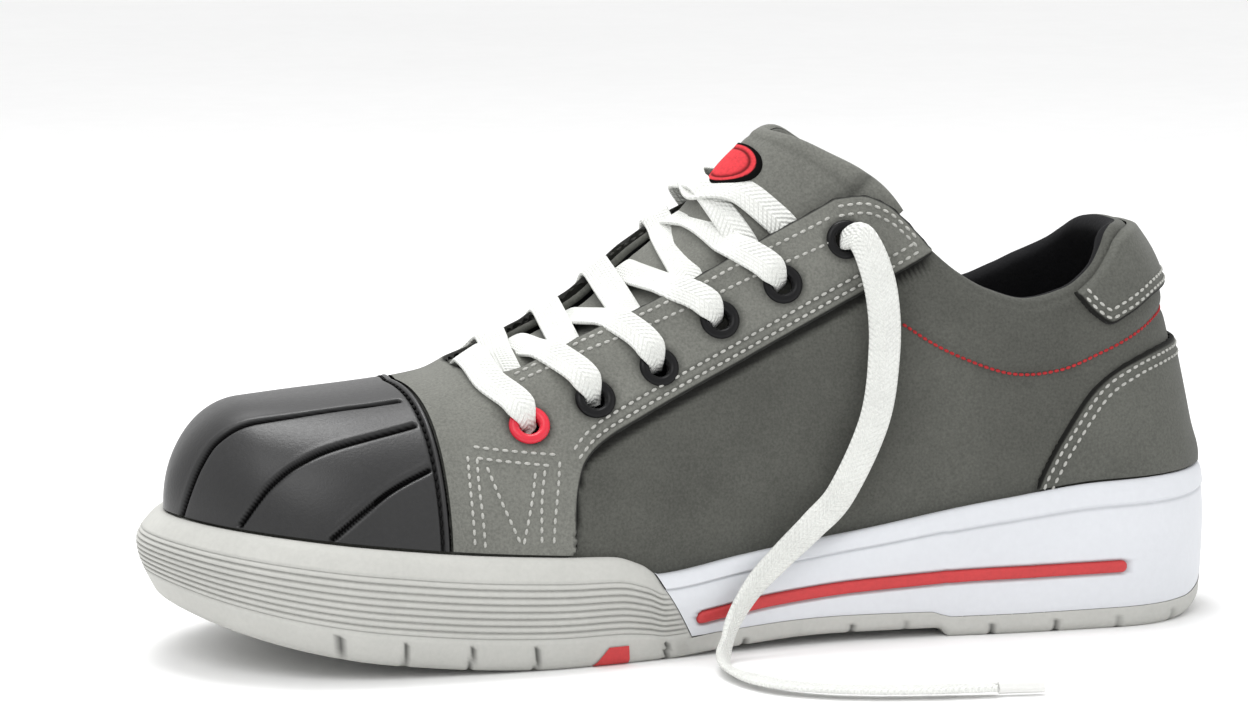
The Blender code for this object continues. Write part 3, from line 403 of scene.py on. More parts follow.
nubuck = {"roughness": 0.85, "grain": (1400, 0.18), "bump": (1700, 0.28), "sheen": 0.08, "gloss": 0.12}
thread = {"roughness": 0.8, "blotch": (90, 0.1), "grain": (2500, 0.15), "bump": (2500, 0.2)}
leather = surface("greyNubuck", (0.084, 0.0855, 0.076), blotch=(26, 0.16), **nubuck)
# the next two are lighter copies of the grey nubuck, for counter and tab, and for facing and tongue: partly a
# paler tone of these panels, partly painted light for the brighter light on them
heelLitLeather = surface("heelLitNubuck", (0.1, 0.102, 0.091), blotch=(30, 0.12), **nubuck)
paleLitLeather = surface("paleLitNubuck", (0.157, 0.159, 0.143), blotch=(30, 0.12), **nubuck)
lining = surface("blackLining", (0.011, 0.011, 0.012), 0.9, (80, 0.1), (2500, 0.3), (900, 0.4), gloss=0.12)
# the dark colours set on the cap, grey and white rubber are what their painted shade mixes to
capRubber = surface("blackCap", (0.013, 0.013, 0.0135), 0.4, (50, 0.06), (900, 0.1), (1300, 0.12), coat=0.05,
                    gloss=0.42, darken=1.0, dark=(0.001, 0.001, 0.001))
greyRubber = surface("greyRubber", (0.46, 0.46, 0.435), 0.6, (40, 0.05), (700, 0.03), (1100, 0.1), gloss=0.25,
                     darken=0.85, dark=(0.03, 0.03, 0.029))
whiteRubber = surface("whiteRubber", (0.62, 0.635, 0.665), 0.5, (30, 0.02), (500, 0.015), (900, 0.06),
                      gloss=0.3, darken=0.6, dark=(0.2, 0.205, 0.225))
redRubber = surface("redRubber", (0.5, 0.045, 0.048), 0.5, (40, 0.06), (900, 0.06), (900, 0.1))
labelCloth = surface("redLabel", (0.6, 0.04, 0.05), 0.7, (60, 0.05), (1200, 0.15), (1500, 0.3),
                     gloss=0.15, darken=1.0)
eyeletBlack = surface("blackEyelet", (0.005, 0.005, 0.0055), 0.3, (90, 0.1), (800, 0.1), (600, 0.04),
                      gloss=0.18)
eyeletRed = surface("redEyelet", (0.6, 0.015, 0.035), 0.3, (90, 0.05), (800, 0.05), (600, 0.04), coat=0.3)
laceCloth = woven("whiteLace", (0.72, 0.73, 0.7), 1.6)
tipPlastic = surface("lacePlastic", (0.72, 0.72, 0.7), 0.25, (90, 0.02), (900, 0.02), (400, 0.02), coat=0.5)
threadLight = surface("lightThread", (0.4, 0.4, 0.375), gloss=0.15, **thread)
threadBlack = surface("blackThread", (0.006, 0.006, 0.006), gloss=0.1, **thread)
threadRed = surface("redThread", (0.38, 0.03, 0.033), gloss=0.15, **thread)
print("stage: materials")


# Mesh helpers; the wide merge joins grids that meet along an edge
wideMerge = 2e-5


def newMesh():
    bm = bmesh.new()
    bm.verts.layers.float.new("shade")
    return bm


def fillGrid(bm, columns, rows, place, material=0):
    # a unit grid whose vertices are moved onto the surface that place gives for u and v
    made = bmesh.ops.create_grid(bm, x_segments=columns, y_segments=rows, size=0.5)["verts"]
    flat = np.rint((np.array([v.co[:2] for v in made]) + 0.5) * (columns, rows)) / (columns, rows)
    points, shade = place(flat[:, 0], flat[:, 1])
    layer = bm.verts.layers.float["shade"]
    shade = np.broadcast_to(shade, len(made))
    for v, p, s in zip(made, toWorld(points).tolist(), shade.tolist()):
        v.co = p
        v[layer] = s
    if material:
        for face in {face for v in made for face in v.link_faces}:
            face.material_index = material
    return made


def islands(bm):
    # faces in groups that hang together
    left = set(bm.faces)
    groups = []
    while left:
        group, waiting = [], [left.pop()]
        while waiting:
            face = waiting.pop()
            group.append(face)
            near = {other for edge in face.edges for other in edge.link_faces} & left
            left -= near
            waiting.extend(near)
        groups.append(group)
    return groups


def addPiece(name, bm, materials, replaced=(), outward=None, merge=1e-6):
    if merge:
        bmesh.ops.remove_doubles(bm, verts=bm.verts, dist=merge)
        bmesh.ops.dissolve_degenerate(bm, edges=bm.edges, dist=1e-7)
    bmesh.ops.recalc_face_normals(bm, faces=bm.faces)
    if outward:
        # an open piece faces away from this point
        core = Vector(toWorld(outward).tolist())
        for island in islands(bm):
            turned = [face for face in island if face.normal.dot(face.calc_center_median() - core) < 0]
            if len(turned) > len(island) / 2:
                bmesh.ops.reverse_faces(bm, faces=island)
    mesh = bpy.data.meshes.new(name)
    bm.to_mesh(mesh)
    bm.free()
    for material in materials:
        mesh.materials.append(material)
    mesh.shade_smooth()
    made = addObject(name, mesh)
    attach(made, "root")
    if replaced:
        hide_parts(*replaced)
    return made


def stationAt(stations):
    stations = np.asarray(stations, float)
    marks = np.linspace(0, 1, len(stations))
    return lambda u: np.interp(u, marks, stations)


def crowd(start, reach, count):
    return start + reach * (1 - np.cos(rightAngle * np.arange(count + 1) / count))


def heelCrowd(count):
    return crowd(heelBack, heelReach, count)


def toeCrowd(count):
    return crowd(toeTip, -toeReach, count)[::-1]


def throatCrowd(count):
    return crowd(throatBase, -throatReach, count)[::-1]


def pointTree(points):
    tree = kdtree.KDTree(len(points))
    for k, p in enumerate(points):
        tree.insert(p, k)
    tree.balance()
    return tree


def distanceTo(points, line):
    tree = pointTree(line)
    return np.array([tree.find(p)[2] for p in points])


# Tongue: a pad with rounded edges, leather outside and lining inside
tongue = {"base": 217.0, "baseSweep": 9.0, "top": 121.2, "topSweep": 29.0, "depth": 3.4, "pad": 5.2,
          "bulge": 1.0}
tongueWidth = curve(((0.0, 31.0), (0.5, 30.5), (0.8, 28.5), (1.0, 25.0)))
tongueFlare = curve(((0.0, 9.8), (0.25, 7.8), (0.5, 4.2), (0.7, 1.4), (0.8, 0.2), (1.0, 0.0)))


def tonguePoint(share, across, extra):
    base = tongue["base"] - tongue["baseSweep"] * across ** 2
    top = tongue["top"] - tongue["topSweep"] * np.abs(across) ** 1.6
    f = base + (top - base) * share
    flare = tongueFlare(np.abs(across)) * smooth((share - 0.62) / 0.38)
    bulge = tongue["bulge"] * bell(share - 0.8, 0.11) * np.maximum(0, 1 - (across / 0.6) ** 2)
    return throatPoint(f, across * tongueWidth(share), flare + bulge - tongue["depth"] + extra)


def buildTongue():
    bm = newMesh()
    rows = 1 - (1 - np.linspace(0, 1, 101)) ** 1.6
    station = stationAt(rows)

    def edgeShare(share, across):
        return dome(across ** 3) * dome(np.clip((share - 0.965) / 0.035, 0, 1))

    def outer(u, v):
        share, across = station(u), -np.cos(math.pi * v)
        seam = bell(np.abs(across) - 0.8, 0.03) * smooth((share - 0.3) / 0.2)
        rim = bell(share - 0.955, 0.008) * (np.abs(across) < 0.78)
        full = edgeShare(share, across)
        soft = 0.3 * np.sin(share * 21) * (1 - across ** 2) * smooth((share - 0.5) / 0.2)
        # the seam and rim are grooves with painted shade in them
        lift = -tongue["pad"] / 2 * (1 - full) - 0.5 * seam - 0.25 * rim + soft
        return tonguePoint(share, across, lift), 0.5 * seam + 0.15 * rim

    def inner(u, v):
        share, across = station(u), -np.cos(math.pi * v)
        return tonguePoint(share, across, -tongue["pad"] / 2 * (1 + edgeShare(share, across))), 0.0
    fillGrid(bm, 100, 64, outer)
    # the leather wraps over the top edge
    fillGrid(bm, 88, 64, lambda u, v: inner(0.88 * u, v), 1)
    fillGrid(bm, 12, 64, lambda u, v: inner(0.88 + 0.12 * u, v))
    made = addPiece("tonguePad", bm, [paleLitLeather, lining], ["tongue"], merge=wideMerge)


buildTongue()

label = {"share": 0.868, "reach": 0.062, "centre": -0.07, "span": 0.28, "thick": 0.9}


def buildLabel():
    bm = newMesh()

    def place(u, v):
        x, y = 2 * u - 1, 2 * v - 1
        x, y = x * np.sqrt(np.maximum(0, 1 - y * y / 2)), y * np.sqrt(np.maximum(0, 1 - x * x / 2))
        r = np.hypot(x, y)
        lift = label["thick"] * dome(np.clip((r - 0.93) / 0.07, 0, 1)) - 0.1
        ring = bell(r - 0.68, 0.055)
        shade = 0.8 * ring + smooth((r - 0.84) / 0.03)
        share, across = label["share"] + label["reach"] * y, label["centre"] + label["span"] * x
        return tonguePoint(share, across, lift - 0.3 * ring), shade
    fillGrid(bm, 64, 64, place)
    addPiece("tongueLabel", bm, [labelCloth], ["tongue_label"], outward=(130, 0, 40))


buildLabel()
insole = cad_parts["insole"]
insole.data.materials.clear()
insole.data.materials.append(lining)
print("stage: tongue")

# Laces: flat bands along a route, with their own coordinates for the weave
lace = {"width": 8.4, "thick": 1.2, "holeWidth": 4.6, "holeThick": 1.7, "freeWidth": 8.4, "step": 1.0,
        "room": 0.65}
eyelet = {"front": 201.0, "back": 109.7, "count": 6, "bore": 2.7, "ring": 4.1, "ringHeight": 2.2,
          "rollWide": 1.35, "rollHigh": 1.1, "cut": 4.0}
eyeletRow = curve(((109.7, 25.0), (128, 26.6), (146, 28.6), (164.5, 32.8), (182.7, 35.6), (201, 37.2)))
cordRoute = ((108.2, -29.5, 109.0), (105.5, -32.5, 103.0), (103.0, -33.5, 92.5), (102.5, -34.0, 78.5),
             (106.0, -36.5, 60.3), (115.5, -38.0, 41.5), (124.5, -41.0, 33.5), (134.0, -43.5, 26.0),
             (142.5, -46.5, 19.0), (149.0, -49.0, 10.5), (152.5, -53.5, 4.4), (155.5, -62.0, 2.4),
             (156.3, -74.0, 2.3), (152.0, -89.0, 2.3), (144.0, -98.0, 2.3), (132.0, -104.5, 2.3),
             (115.0, -109.0, 2.3), (98.0, -111.5, 2.3))


def eyeletStation(index):
    return eyelet["front"] + (eyelet["back"] - eyelet["front"]) * index / (eyelet["count"] - 1)


def eyeletPlace(side, index):
    f = eyeletStation(index)
    angle = angleAtGap(side, f, eyeletRow(f))
    return lastPoint(side, f, angle), lastNormal(side, f, angle)


def eyeletWorld(side, index):
    place, normal = eyeletPlace(side, index)
    return Vector(toWorld(place).tolist()), Vector((normal * (-1, 1, 1)).tolist())


def band(bm, points, normals, widths, thicks, rounded=3.0):
    # a rounded flat section swept along the points
    along = unit(np.gradient(points, axis=0))
    normals = unit(normals - np.sum(normals * along, -1, keepdims=True) * along)
    across = np.cross(along, normals)
    lengths = runLengths(points)
    count, around = len(points) - 1, 16
    layer = bm.verts.layers.float_vector.get("band") or bm.verts.layers.float_vector.new("band")
    made = bmesh.ops.create_grid(bm, x_segments=count, y_segments=around, size=0.5)["verts"]
    flat = np.array([v.co[:2] for v in made]) + 0.5
    k = np.clip(np.rint(flat[:, 0] * count).astype(int), 0, count)
    turn = 2 * math.pi * np.rint(flat[:, 1] * around) / around
    sine, cosine = np.sin(turn), np.cos(turn)
    side = np.sign(cosine) * np.abs(cosine) ** (2 / rounded) * widths[k] / 2
    up = np.sign(sine) * np.abs(sine) ** (2 / rounded) * thicks[k] / 2
    place = points[k] + across[k] * side[:, None] + normals[k] * up[:, None]
    for v, p, s, w in zip(made, toWorld(place).tolist(), lengths[k].tolist(), side.tolist()):
        v.co = p
        v[layer] = (s, w, 0.0)
    for end in (0, count):
        ring = [v for v, i in zip(made, k) if i == end]
        bmesh.ops.contextual_create(bm, geom=list(dict.fromkeys(ring[:around])))


def buildFreeEnd():
    place, normal = eyeletPlace(medial, eyelet["count"] - 1)
    route = smoothRoute([place - normal * 1.0, place + normal * 3.4] + list(cordRoute), lace["step"])
    share = np.linspace(0, 1, len(route))
    # the flat side turns from the eyelet to the wall, edge on over the sole, then flat on the floor
    marks = (0.0, 0.03, 0.09, 0.2, 0.42, 0.5, 0.58, 0.64, 0.72, 1.0)
    faces = ((1.0, -0.4, 0.2), (0.9, -0.6, 0.5), (0.2, -1.0, 0.25), (0.1, -1.0, 0.0), (-0.1, -1.0, 0.1),
             (-0.5, -0.8, 0.2), (-0.9, -0.5, 0.2), (-0.6, -0.3, 0.7), (0, 0, 1), (0, 0, 1))
    normals = unit(interpRows(share, marks, np.array(faces)))
    widths = np.interp(share, (0, 0.012, 0.045, 0.1, 0.38, 0.5, 0.62, 0.75, 0.95, 1),
                       (4.8, 5.4, 8.2, 8.9, 8.2, 6.6, 5.8, 7.0, 6.6, 5.0))
    thicks = np.interp(share, (0, 0.012, 0.045, 0.4, 0.55, 0.75, 1), (3.0, 2.6, 1.5, 1.4, 1.9, 1.5, 1.8))
    bm = newMesh()
    band(bm, route, normals, widths, thicks, 4.0)
    made = addPiece("laceFreeEnd", bm, [laceCloth], ["lace_end"])
    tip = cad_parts["lace_aglet"]
    tip.data.materials.clear()
    tip.data.materials.append(tipPlastic)


buildFreeEnd()
print("stage: lace end")

# Crossings, front to back: f at both edges of the throat for the lace on top and the one below
crossings = ((208.0, 209.5, 203.0, 195.5), (192.0, 195.0, 186.5, 179.5), (174.0, 178.5, 169.0, 165.0),
             (157.5, 162.5, 151.8, 148.0), (138.5, 146.5, 135.5, 141.0))
# the bar to the last eyelet, rows of across, f and height
topBar = ((-24.5, 122.0, -2.8), (-20.5, 124.5, -2.6), (-10.0, 134.0, 1.0), (0.0, 142.5, 2.4),
          (12.0, 141.0, 3.2), (21.0, 127.5, 4.6))
# distance from the bore and height of a lace that goes into its eyelet
holeRows = ((0.2, -2.6), (0.5, 2.6), (2.4, 5.6), (5.0, 5.2), (7.8, 3.5))


def tongueGuide():
    share, across = (x.ravel() for x in np.meshgrid(np.linspace(0, 1, 140), np.linspace(-1, 1, 91)))
    points = tonguePoint(share, across, 0.0)
    return points, unit(tonguePoint(share, across, 1.0) - points), pointTree(points)


guidePoints, guideNormals, guideTree = tongueGuide()


def ease(values, reach):
    # a running mean that keeps both ends in place
    count = 3 * reach
    weights = np.exp(-0.5 * (np.arange(-count, count + 1) / reach) ** 2)
    before = 2 * values[0] - values[count:0:-1]
    after = 2 * values[-1] - values[-2:-count - 2:-1]
    longer = np.concatenate([before, values, after])
    return np.stack([np.convolve(column, weights / weights.sum(), "valid") for column in longer.T], -1)


def laceRun(bm, rows, hole=None, narrow=None):
    # rows of across, f and height over the upper: straight runs, eased at the bends and kept off the tongue
    rows = np.array(rows, float)
    corners = throatPoint(rows[:, 1], rows[:, 0], rows[:, 2])
    ups = throatNormal(rows[:, 1], rows[:, 0])
    if hole:
        end, beside, away = (0, 1, 3) if hole == "first" else (-1, -2, -4)
        outward = unit(corners[end] - corners[away])
        ups[end], ups[beside] = outward, unit(outward + ups[beside])
    lengths = runLengths(corners)
    marks = np.linspace(0, lengths[-1], 2 * int(lengths[-1] / lace["step"]) + 1)
    points = ease(interpRows(marks, lengths, corners), 3)
    normals = interpRows(marks, lengths, ups)
    nearest = [guideTree.find(p)[1] for p in points]
    height = np.sum((points - guidePoints[nearest]) * guideNormals[nearest], -1)
    points = points + guideNormals[nearest] * np.maximum(0, lace["room"] - height)[:, None]
    touch = np.clip(1 - (height - lace["room"]) / 2.0, 0, 1)[:, None]
    points = ease(points, 4)
    normals = ease(normals * (1 - touch) + guideNormals[nearest] * touch, 8)
    widths = np.full(len(marks), lace["width"])
    thicks = np.full(len(marks), lace["thick"])
    if hole:
        away = marks if hole == "first" else marks[-1] - marks
        near = 1 - smooth((away - 4.0) / 7.0)
        widths = widths + (lace["holeWidth"] - widths) * near
        thicks = thicks + (lace["holeThick"] - thicks) * near
    if narrow:
        widths = widths - narrow * bell(np.linspace(0, 1, len(marks)) - 0.42, 0.2)
    band(bm, points[::2], normals[::2], widths[::2], thicks[::2], 4.5)


def intoHole(side, index, across, f):
    # from the throat's edge over the eyelet's ring into its bore, as rows from the bore outwards
    hole = np.array((side * float(eyeletRow(eyeletStation(index))), eyeletStation(index)))
    way = unit(np.array((across, f)) - hole)
    return [(*(hole + way * r), z) for r, z in holeRows]


def buildLaces():
    bm = newMesh()
    for index, (overMedial, overLateral, underMedial, underLateral) in enumerate(crossings):
        last = index == len(crossings) - 1
        gap = float(throatGap(eyeletStation(index)))
        rows = intoHole(medial, index, -gap, overMedial) + [(-gap, overMedial, 3.0)]
        if index == 0:
            # the first lace lies over the front of the throat
            rows += [(-17, overMedial + 0.4, 3.6), (-6, overMedial + 0.8, 3.4)]
        laceRun(bm, rows + [(gap, overLateral, -2.8), (gap + 5, overLateral - 1, -2.9)], "first")
        rows = [(-gap - 5, underMedial - 1, -2.9), (-gap, underMedial, -2.8)]
        rows += [(0, 141.0, 4.4), (gap - 2, underLateral, 6.0)] if last else [(gap, underLateral, 3.2)]
        laceRun(bm, rows + intoHole(lateral, index, gap, underLateral)[::-1], "last", 1.8 if last else None)
    index = eyelet["count"] - 1
    laceRun(bm, list(topBar) + intoHole(lateral, index, 20.0, 128.0)[::-1], "last")
    addPiece("laceCrossings", bm, [laceCloth], ["lace_crossings"])


buildLaces()


def buildEyelets():
    # a rolled ring and its barrel, spun round the bore
    profile = [(eyelet["bore"] + 0.5, -2.3), (eyelet["bore"], 0.4), (eyelet["bore"], 2.0)]
    for turn in np.linspace(160, -60, 9):
        turn = math.radians(turn)
        profile.append((eyelet["ring"] + eyelet["rollWide"] * math.cos(turn),
                        eyelet["ringHeight"] + eyelet["rollHigh"] * math.sin(turn)))
    profile += [(4.4, 0.6), (3.5, -2.3)]
    for name, wanted, material, slot in (("eyeletsRed", (0,), eyeletRed, "eyelet_red"),
                                         ("eyeletsBlack", range(1, 6), eyeletBlack, "eyelet")):
        bm = newMesh()
        nodes = []
        for side in sides:
            for index in wanted:
                centre, axis = eyeletWorld(side, index)
                matrix = Matrix.Translation(centre) @ axis.to_track_quat("Z", "Y").to_matrix().to_4x4()
                verts = [bm.verts.new((r * mm, 0, h * mm)) for r, h in profile]
                edges = [bm.edges.new(pair) for pair in zip(verts, verts[1:] + verts[:1])]
                before = set(bm.verts) - set(verts)
                bmesh.ops.spin(bm, geom=verts + edges, cent=(0, 0, 0), axis=(0, 0, 1), angle=2 * math.pi,
                               steps=32, use_merge=True)
                bmesh.ops.transform(bm, matrix=matrix, verts=[v for v in bm.verts if v not in before])
                nodes.append("eyelet_%s_%d" % (sideNames[side], index + 1))
        addPiece(name, bm, [material], nodes)


buildEyelets()
print("stage: laces and eyelets")

# Upper
upper = {"wall": 2.2, "collarPad": 6.5, "padDepth": 34.0, "padFront": 86.0, "padFade": 16.0,
         "collarSwell": 1.3, "seamDepth": 0.7, "seamHalf": 1.6}
upperStations = np.concatenate([
    heelCrowd(26), np.arange(37, 87, 1.6), np.arange(87, 112, 1.25), np.arange(112, 197, 1.7),
    throatCrowd(14), np.arange(214.5, 226, 1.5), np.linspace(228, 244, 6), toeCrowd(10)])
collarSeam = ((1.5, 86.0), (12.8, 83.6), (24, 80.0), (35.6, 76.0), (51, 71.1), (66, 70.8), (82.6, 76.9),
              (96.3, 85.3))
seamAt = curve(collarSeam)
# soft creases of the leather: rows of f and z, depth, half width
creases = ((((186, 46), (172, 41), (156, 38)), 0.5, 4.5), (((178, 57), (162, 51), (146, 50)), 0.35, 5.5),
           (((96, 72), (86, 63), (72, 57)), 0.4, 5.5), (((62, 85), (52, 80), (42, 79)), 0.4, 4.0),
           (((216, 66), (214, 58), (208, 50)), 0.3, 4.0))


def lineDistance(f, z, rows):
    best = np.full(np.shape(f), 1e9)
    for (f0, z0), (f1, z1) in zip(rows, rows[1:]):
        run, rise = f1 - f0, z1 - z0
        t = np.clip(((f - f0) * run + (z - z0) * rise) / (run * run + rise * rise), 0, 1)
        best = np.minimum(best, np.hypot(f - f0 - t * run, z - z0 - t * rise))
    return best


def relief(side, f, z):
    # padded collar above its seam, a trough along the seam, creases and soft unevenness of the leather
    seam, top = seamAt(f), topLine(side, f)
    inside = smooth((100 - f) / 12.0)
    above = np.clip((z - seam) / np.maximum(top - seam, 1), 0, 1)
    swell = upper["collarSwell"] * np.sin(math.pi * above ** 0.8) ** 0.7 * inside
    trough = -upper["seamDepth"] * bell(z - seam, upper["seamHalf"]) * inside
    # both sides agree on the middle line
    phase = 1.2 * side * smooth((crownAt(f) - z) / 8.0)
    waves = 0.22 * np.sin(f / 17.0 + phase) * np.sin(z / 13.0 + f / 40.0) + 0.12 * np.sin(f / 6.3 + z / 9.1)
    for rows, deep, wide in creases:
        waves = waves - deep * bell(lineDistance(f, z, rows), wide)
    return swell + trough + waves * smooth((z - 28) / 10) * smooth((f - 4) / 10)


def padThickness(side, f, z):
    below = np.maximum(0, topLine(side, f) - z) / upper["padDepth"]
    share = smooth(1 - below) * smooth((upper["padFront"] - f) / upper["padFade"])
    return upper["wall"] + (upper["collarPad"] - upper["wall"]) * share


def cutHoles(bm):
    # faces under the eyelets' rings go
    gone = set()
    for side in sides:
        for index in range(eyelet["count"]):
            centre, axis = eyeletWorld(side, index)
            for face in bm.faces:
                away = face.calc_center_median() - centre
                height = away.dot(axis)
                if abs(height) < 6 * mm and (away - axis * height).length < eyelet["cut"] * mm:
                    gone.add(face)
    bmesh.ops.delete(bm, geom=list(gone), context="FACES")


facing = {"lift": 1.9, "round": 1.1, "dark": 0.5, "shadow": 3.0, "thick": 0.7, "grooves": (2.6, 5.2)}
facingEdge = ((86.6, 104.0), (87, 103.0), (107, 92.5), (141, 76.0), (171, 62.5), (182, 57.0), (187, 52.5),
              (189.5, 46.0), (191, 36.0), (191.6, 20.0))
facingHeight = curve(facingEdge[1:])


def facingLow(side, f):
    z = np.maximum(facingHeight(f), soleTop(f) + 0.5)
    return np.where(f > 191.6, rimAngle(f), angleAtHeight(f, z))


def facingLowLine(side):
    f = np.concatenate([np.arange(87, 182, 0.4), np.arange(182, 191.7, 0.1)])
    return lastPoint(side, f, facingLow(side, f))


def rollHeight(side, f):
    # how far the rim's roll rises over the wall's edge
    top = lastPoint(side, f, openingAngle(side, f))[..., 2]
    return 0.42 * padThickness(side, f, top) * smooth((throatBase - f) / 6)


def openTop(side, f):
    full = openingAngle(side, f)
    reach = np.linalg.norm(lastPoint(side, f, full) - lastPoint(side, f, full - 0.01), axis=-1) / 0.01
    return full - rollHeight(side, f) / np.maximum(reach, 1.0)


def buildUpper():
    bm = newMesh()
    station = stationAt(upperStations)
    columns = len(upperStations) - 1
    collarStations = upperStations[upperStations <= throatTop]
    throatStations = upperStations[(upperStations >= throatTop) & (upperStations <= throatBase)]
    for side in sides:
        lowLine = facingLowLine(side)

        def onWall(u, v):
            f = station(u)
            angle = v * openTop(side, f)
            return leanStation(f, angle), angle

        def outer(u, v):
            f, angle = onWall(u, v)
            base = lastPoint(side, f, angle)
            z = base[..., 2]
            fade = smooth((1 - v) / 0.03)
            # the facing's lower edge has painted shadow below it: a dark band on the quarter, narrow beside
            # its leg
            wide = facing["shadow"] - 1.9 * smooth((f - 180) / 8)
            dark = 1 - smooth((distanceTo(base, lowLine) - 0.45 * wide) / (0.6 * wide))
            dark = dark * (z < facingHeight(f) + 3) * (f < 192) * smooth((f - 86) / 4)
            return lastAt(side, f, angle, relief(side, f, z) * fade), 0.95 * dark

        def inner(u, v):
            f, angle = onWall(u, v)
            z = lastPoint(side, f, angle)[..., 2]
            return lastAt(side, f, angle, -padThickness(side, f, z)), 0.0

        def roll(f, turn):
            angle, high = openTop(side, f), rollHeight(side, f)
            f = leanStation(f, angle)
            edge = lastPoint(side, f, angle)
            normal = lastNormal(side, f, angle)
            up = unit(edge - lastPoint(side, f, angle - 0.01))
            half = padThickness(side, f, edge[..., 2]) / 2
            out = normal * ((np.cos(turn) - 1) * half)[..., None]
            return edge + out + up * (np.sin(turn) * high)[..., None], 0.0
        fillGrid(bm, columns, 84, outer)
        fillGrid(bm, columns, 30, inner, 1)
        for stations, inside in ((collarStations, 1), (throatStations, 0)):
            at = stationAt(stations)
            count = len(stations) - 1
            fillGrid(bm, count, 4, lambda u, v: roll(at(u), 0.36 * math.pi * v))
            fillGrid(bm, count, 7, lambda u, v: roll(at(u), math.pi * (0.36 + 0.64 * v)), inside)
    cutHoles(bm)
    addPiece("upperShell", bm, [leather, lining], ["upper"], merge=wideMerge)


buildUpper()
print("stage: upper")


# Overlays lie on the upper and thin out in a rounded rim
def overlay(name, stations, rows, lowAt, highAt, lines, spec, material, replaced, extra=None,
            holes=False):
    bm = newMesh()
    station = stationAt(stations)
    for side in sides:
        edge = np.concatenate([line(side) for line in lines])

        def place(u, v):
            f = station(u)
            low, high = lowAt(side, f), highAt(side, f)
            angle = low + (high - low) * (0.5 - 0.5 * np.cos(math.pi * v))
            f = leanStation(f, angle)
            base = lastPoint(side, f, angle)
            away = distanceTo(base, edge)
            rim = np.clip(away / spec["round"], 0, 1)
            lift = -0.25 + (spec["lift"] + 0.25) * dome(1 - rim)
            # darker within a given width of the rim: partly the edges' own dark colour, partly painted shade
            # where the rim steps down to the leather
            shade = 1 - smooth((away - spec["dark"]) / 0.5)
            if extra:
                more, moreShade = extra(side, f, angle, base)
                lift, shade = lift + more, np.maximum(shade, moreShade)
            lift = lift + relief(side, f, base[..., 2])
            return lastAt(side, f, angle, lift), shade
        fillGrid(bm, len(stations) - 1, rows, place)
    if holes:
        cutHoles(bm)
    addPiece(name, bm, [material], replaced, outward=(130, 0, 40))


def openingLine(side):
    f = np.concatenate([np.arange(87, 197, 0.4), throatCrowd(60)])
    return lastPoint(side, f, openingAngle(side, f))


facingStations = np.concatenate([
    np.arange(87, 112, 0.9), np.arange(112, 180, 1.5), np.arange(180.5, 186, 0.7),
    np.arange(186, 191.6, 0.35), np.arange(191.8, 197, 0.9), throatCrowd(18), np.arange(214, 224.6, 1.2),
    [224.7]])


def thickRun(f):
    # where the facing's lower edge is thick, along the quarter
    return smooth((f - 92) / 12) * smooth((188 - f) / 5)


def facingRim(side, f, angle, base):
    # the thick edge has faint grooves for two stitch rows; painted shade on its side (also a black edge), in
    # the grooves and round the eyelets
    above = base[..., 2] - facingHeight(f)
    run = thickRun(f)
    wall = smooth(above / 1.8)
    lift = run * (facing["thick"] * wall - 0.4 * (1 - wall))
    shade = run * (1 - smooth((above - 0.6) / 0.5))
    for row in facing["grooves"]:
        groove = run * bell(above - row, 0.6)
        lift, shade = lift - 0.2 * groove, np.maximum(shade, 0.5 * groove)
    for index in range(eyelet["count"]):
        away = np.linalg.norm(base - eyeletPlace(side, index)[0], axis=-1)
        shade = np.maximum(shade, 0.6 * (1 - smooth((away - 5.2) / 2.0)))
    return lift, shade


overlay("facingPair", facingStations, 52, facingLow, openingAngle, (facingLowLine, openingLine), facing,
        paleLitLeather, ["facing"], facingRim, holes=True)

counter = {"lift": 1.7, "round": 1.0, "dark": 0.65}
counterEdge = ((1.5, 77.0), (15, 76.0), (28, 73.0), (40, 66.5), (52, 52.0), (57, 44.0), (59, 39.5))
counterHeight = curve(counterEdge)
counterStations = np.concatenate([heelCrowd(30), np.arange(37, 52, 1.0), np.arange(52, 59, 0.5), [59.0]])


def counterHigh(side, f):
    return angleAtHeight(f, np.maximum(counterHeight(f), soleTop(f) + 0.5))


def counterLine(side):
    f = np.concatenate([heelCrowd(160), np.arange(36, 59, 0.2)])
    return lastPoint(side, f, counterHigh(side, f))


overlay("heelCounter", counterStations, 30, lambda side, f: rimAngle(f), counterHigh, (counterLine,), counter,
        heelLitLeather, ["heel_counter"])

tab = {"lift": 2.0, "round": 1.0, "dark": 0.8}
tabEdge = ((1.5, 91.0), (15, 89.5), (28, 85.0), (34, 83.0), (39, 85.5), (43, 89.5), (46, 94.0))
tabHeight = curve(tabEdge)
tabStations = np.concatenate([crowd(heelBack, 30.0, 28), np.arange(32, 46, 0.5), [46.0]])


def tabLow(side, f):
    return np.minimum(angleAtHeight(f, tabHeight(f)), openTop(side, f))


def tabLine(side):
    f = np.concatenate([crowd(heelBack, 30.0, 140), np.arange(31.5, 46, 0.2)])
    return lastPoint(side, f, tabLow(side, f))


def tabTop(side, f, angle, base):
    # thins out towards the rim
    left = np.linalg.norm(base - lastPoint(side, f, openTop(side, f)), axis=-1)
    return -1.9 * (1 - smooth(left / 2.0)), 0.0


overlay("heelTab", tabStations, 30, tabLow, openTop, (tabLine,), tab, heelLitLeather,
        ["heel_tab"], tabTop)

# Toe cap with three moulded grooves on each side and a stitched rear band
cap = {"lift": 2.1, "round": 1.2, "dark": 0.5, "groove": 1.3, "ridge": 0.12, "seam": 2.5}
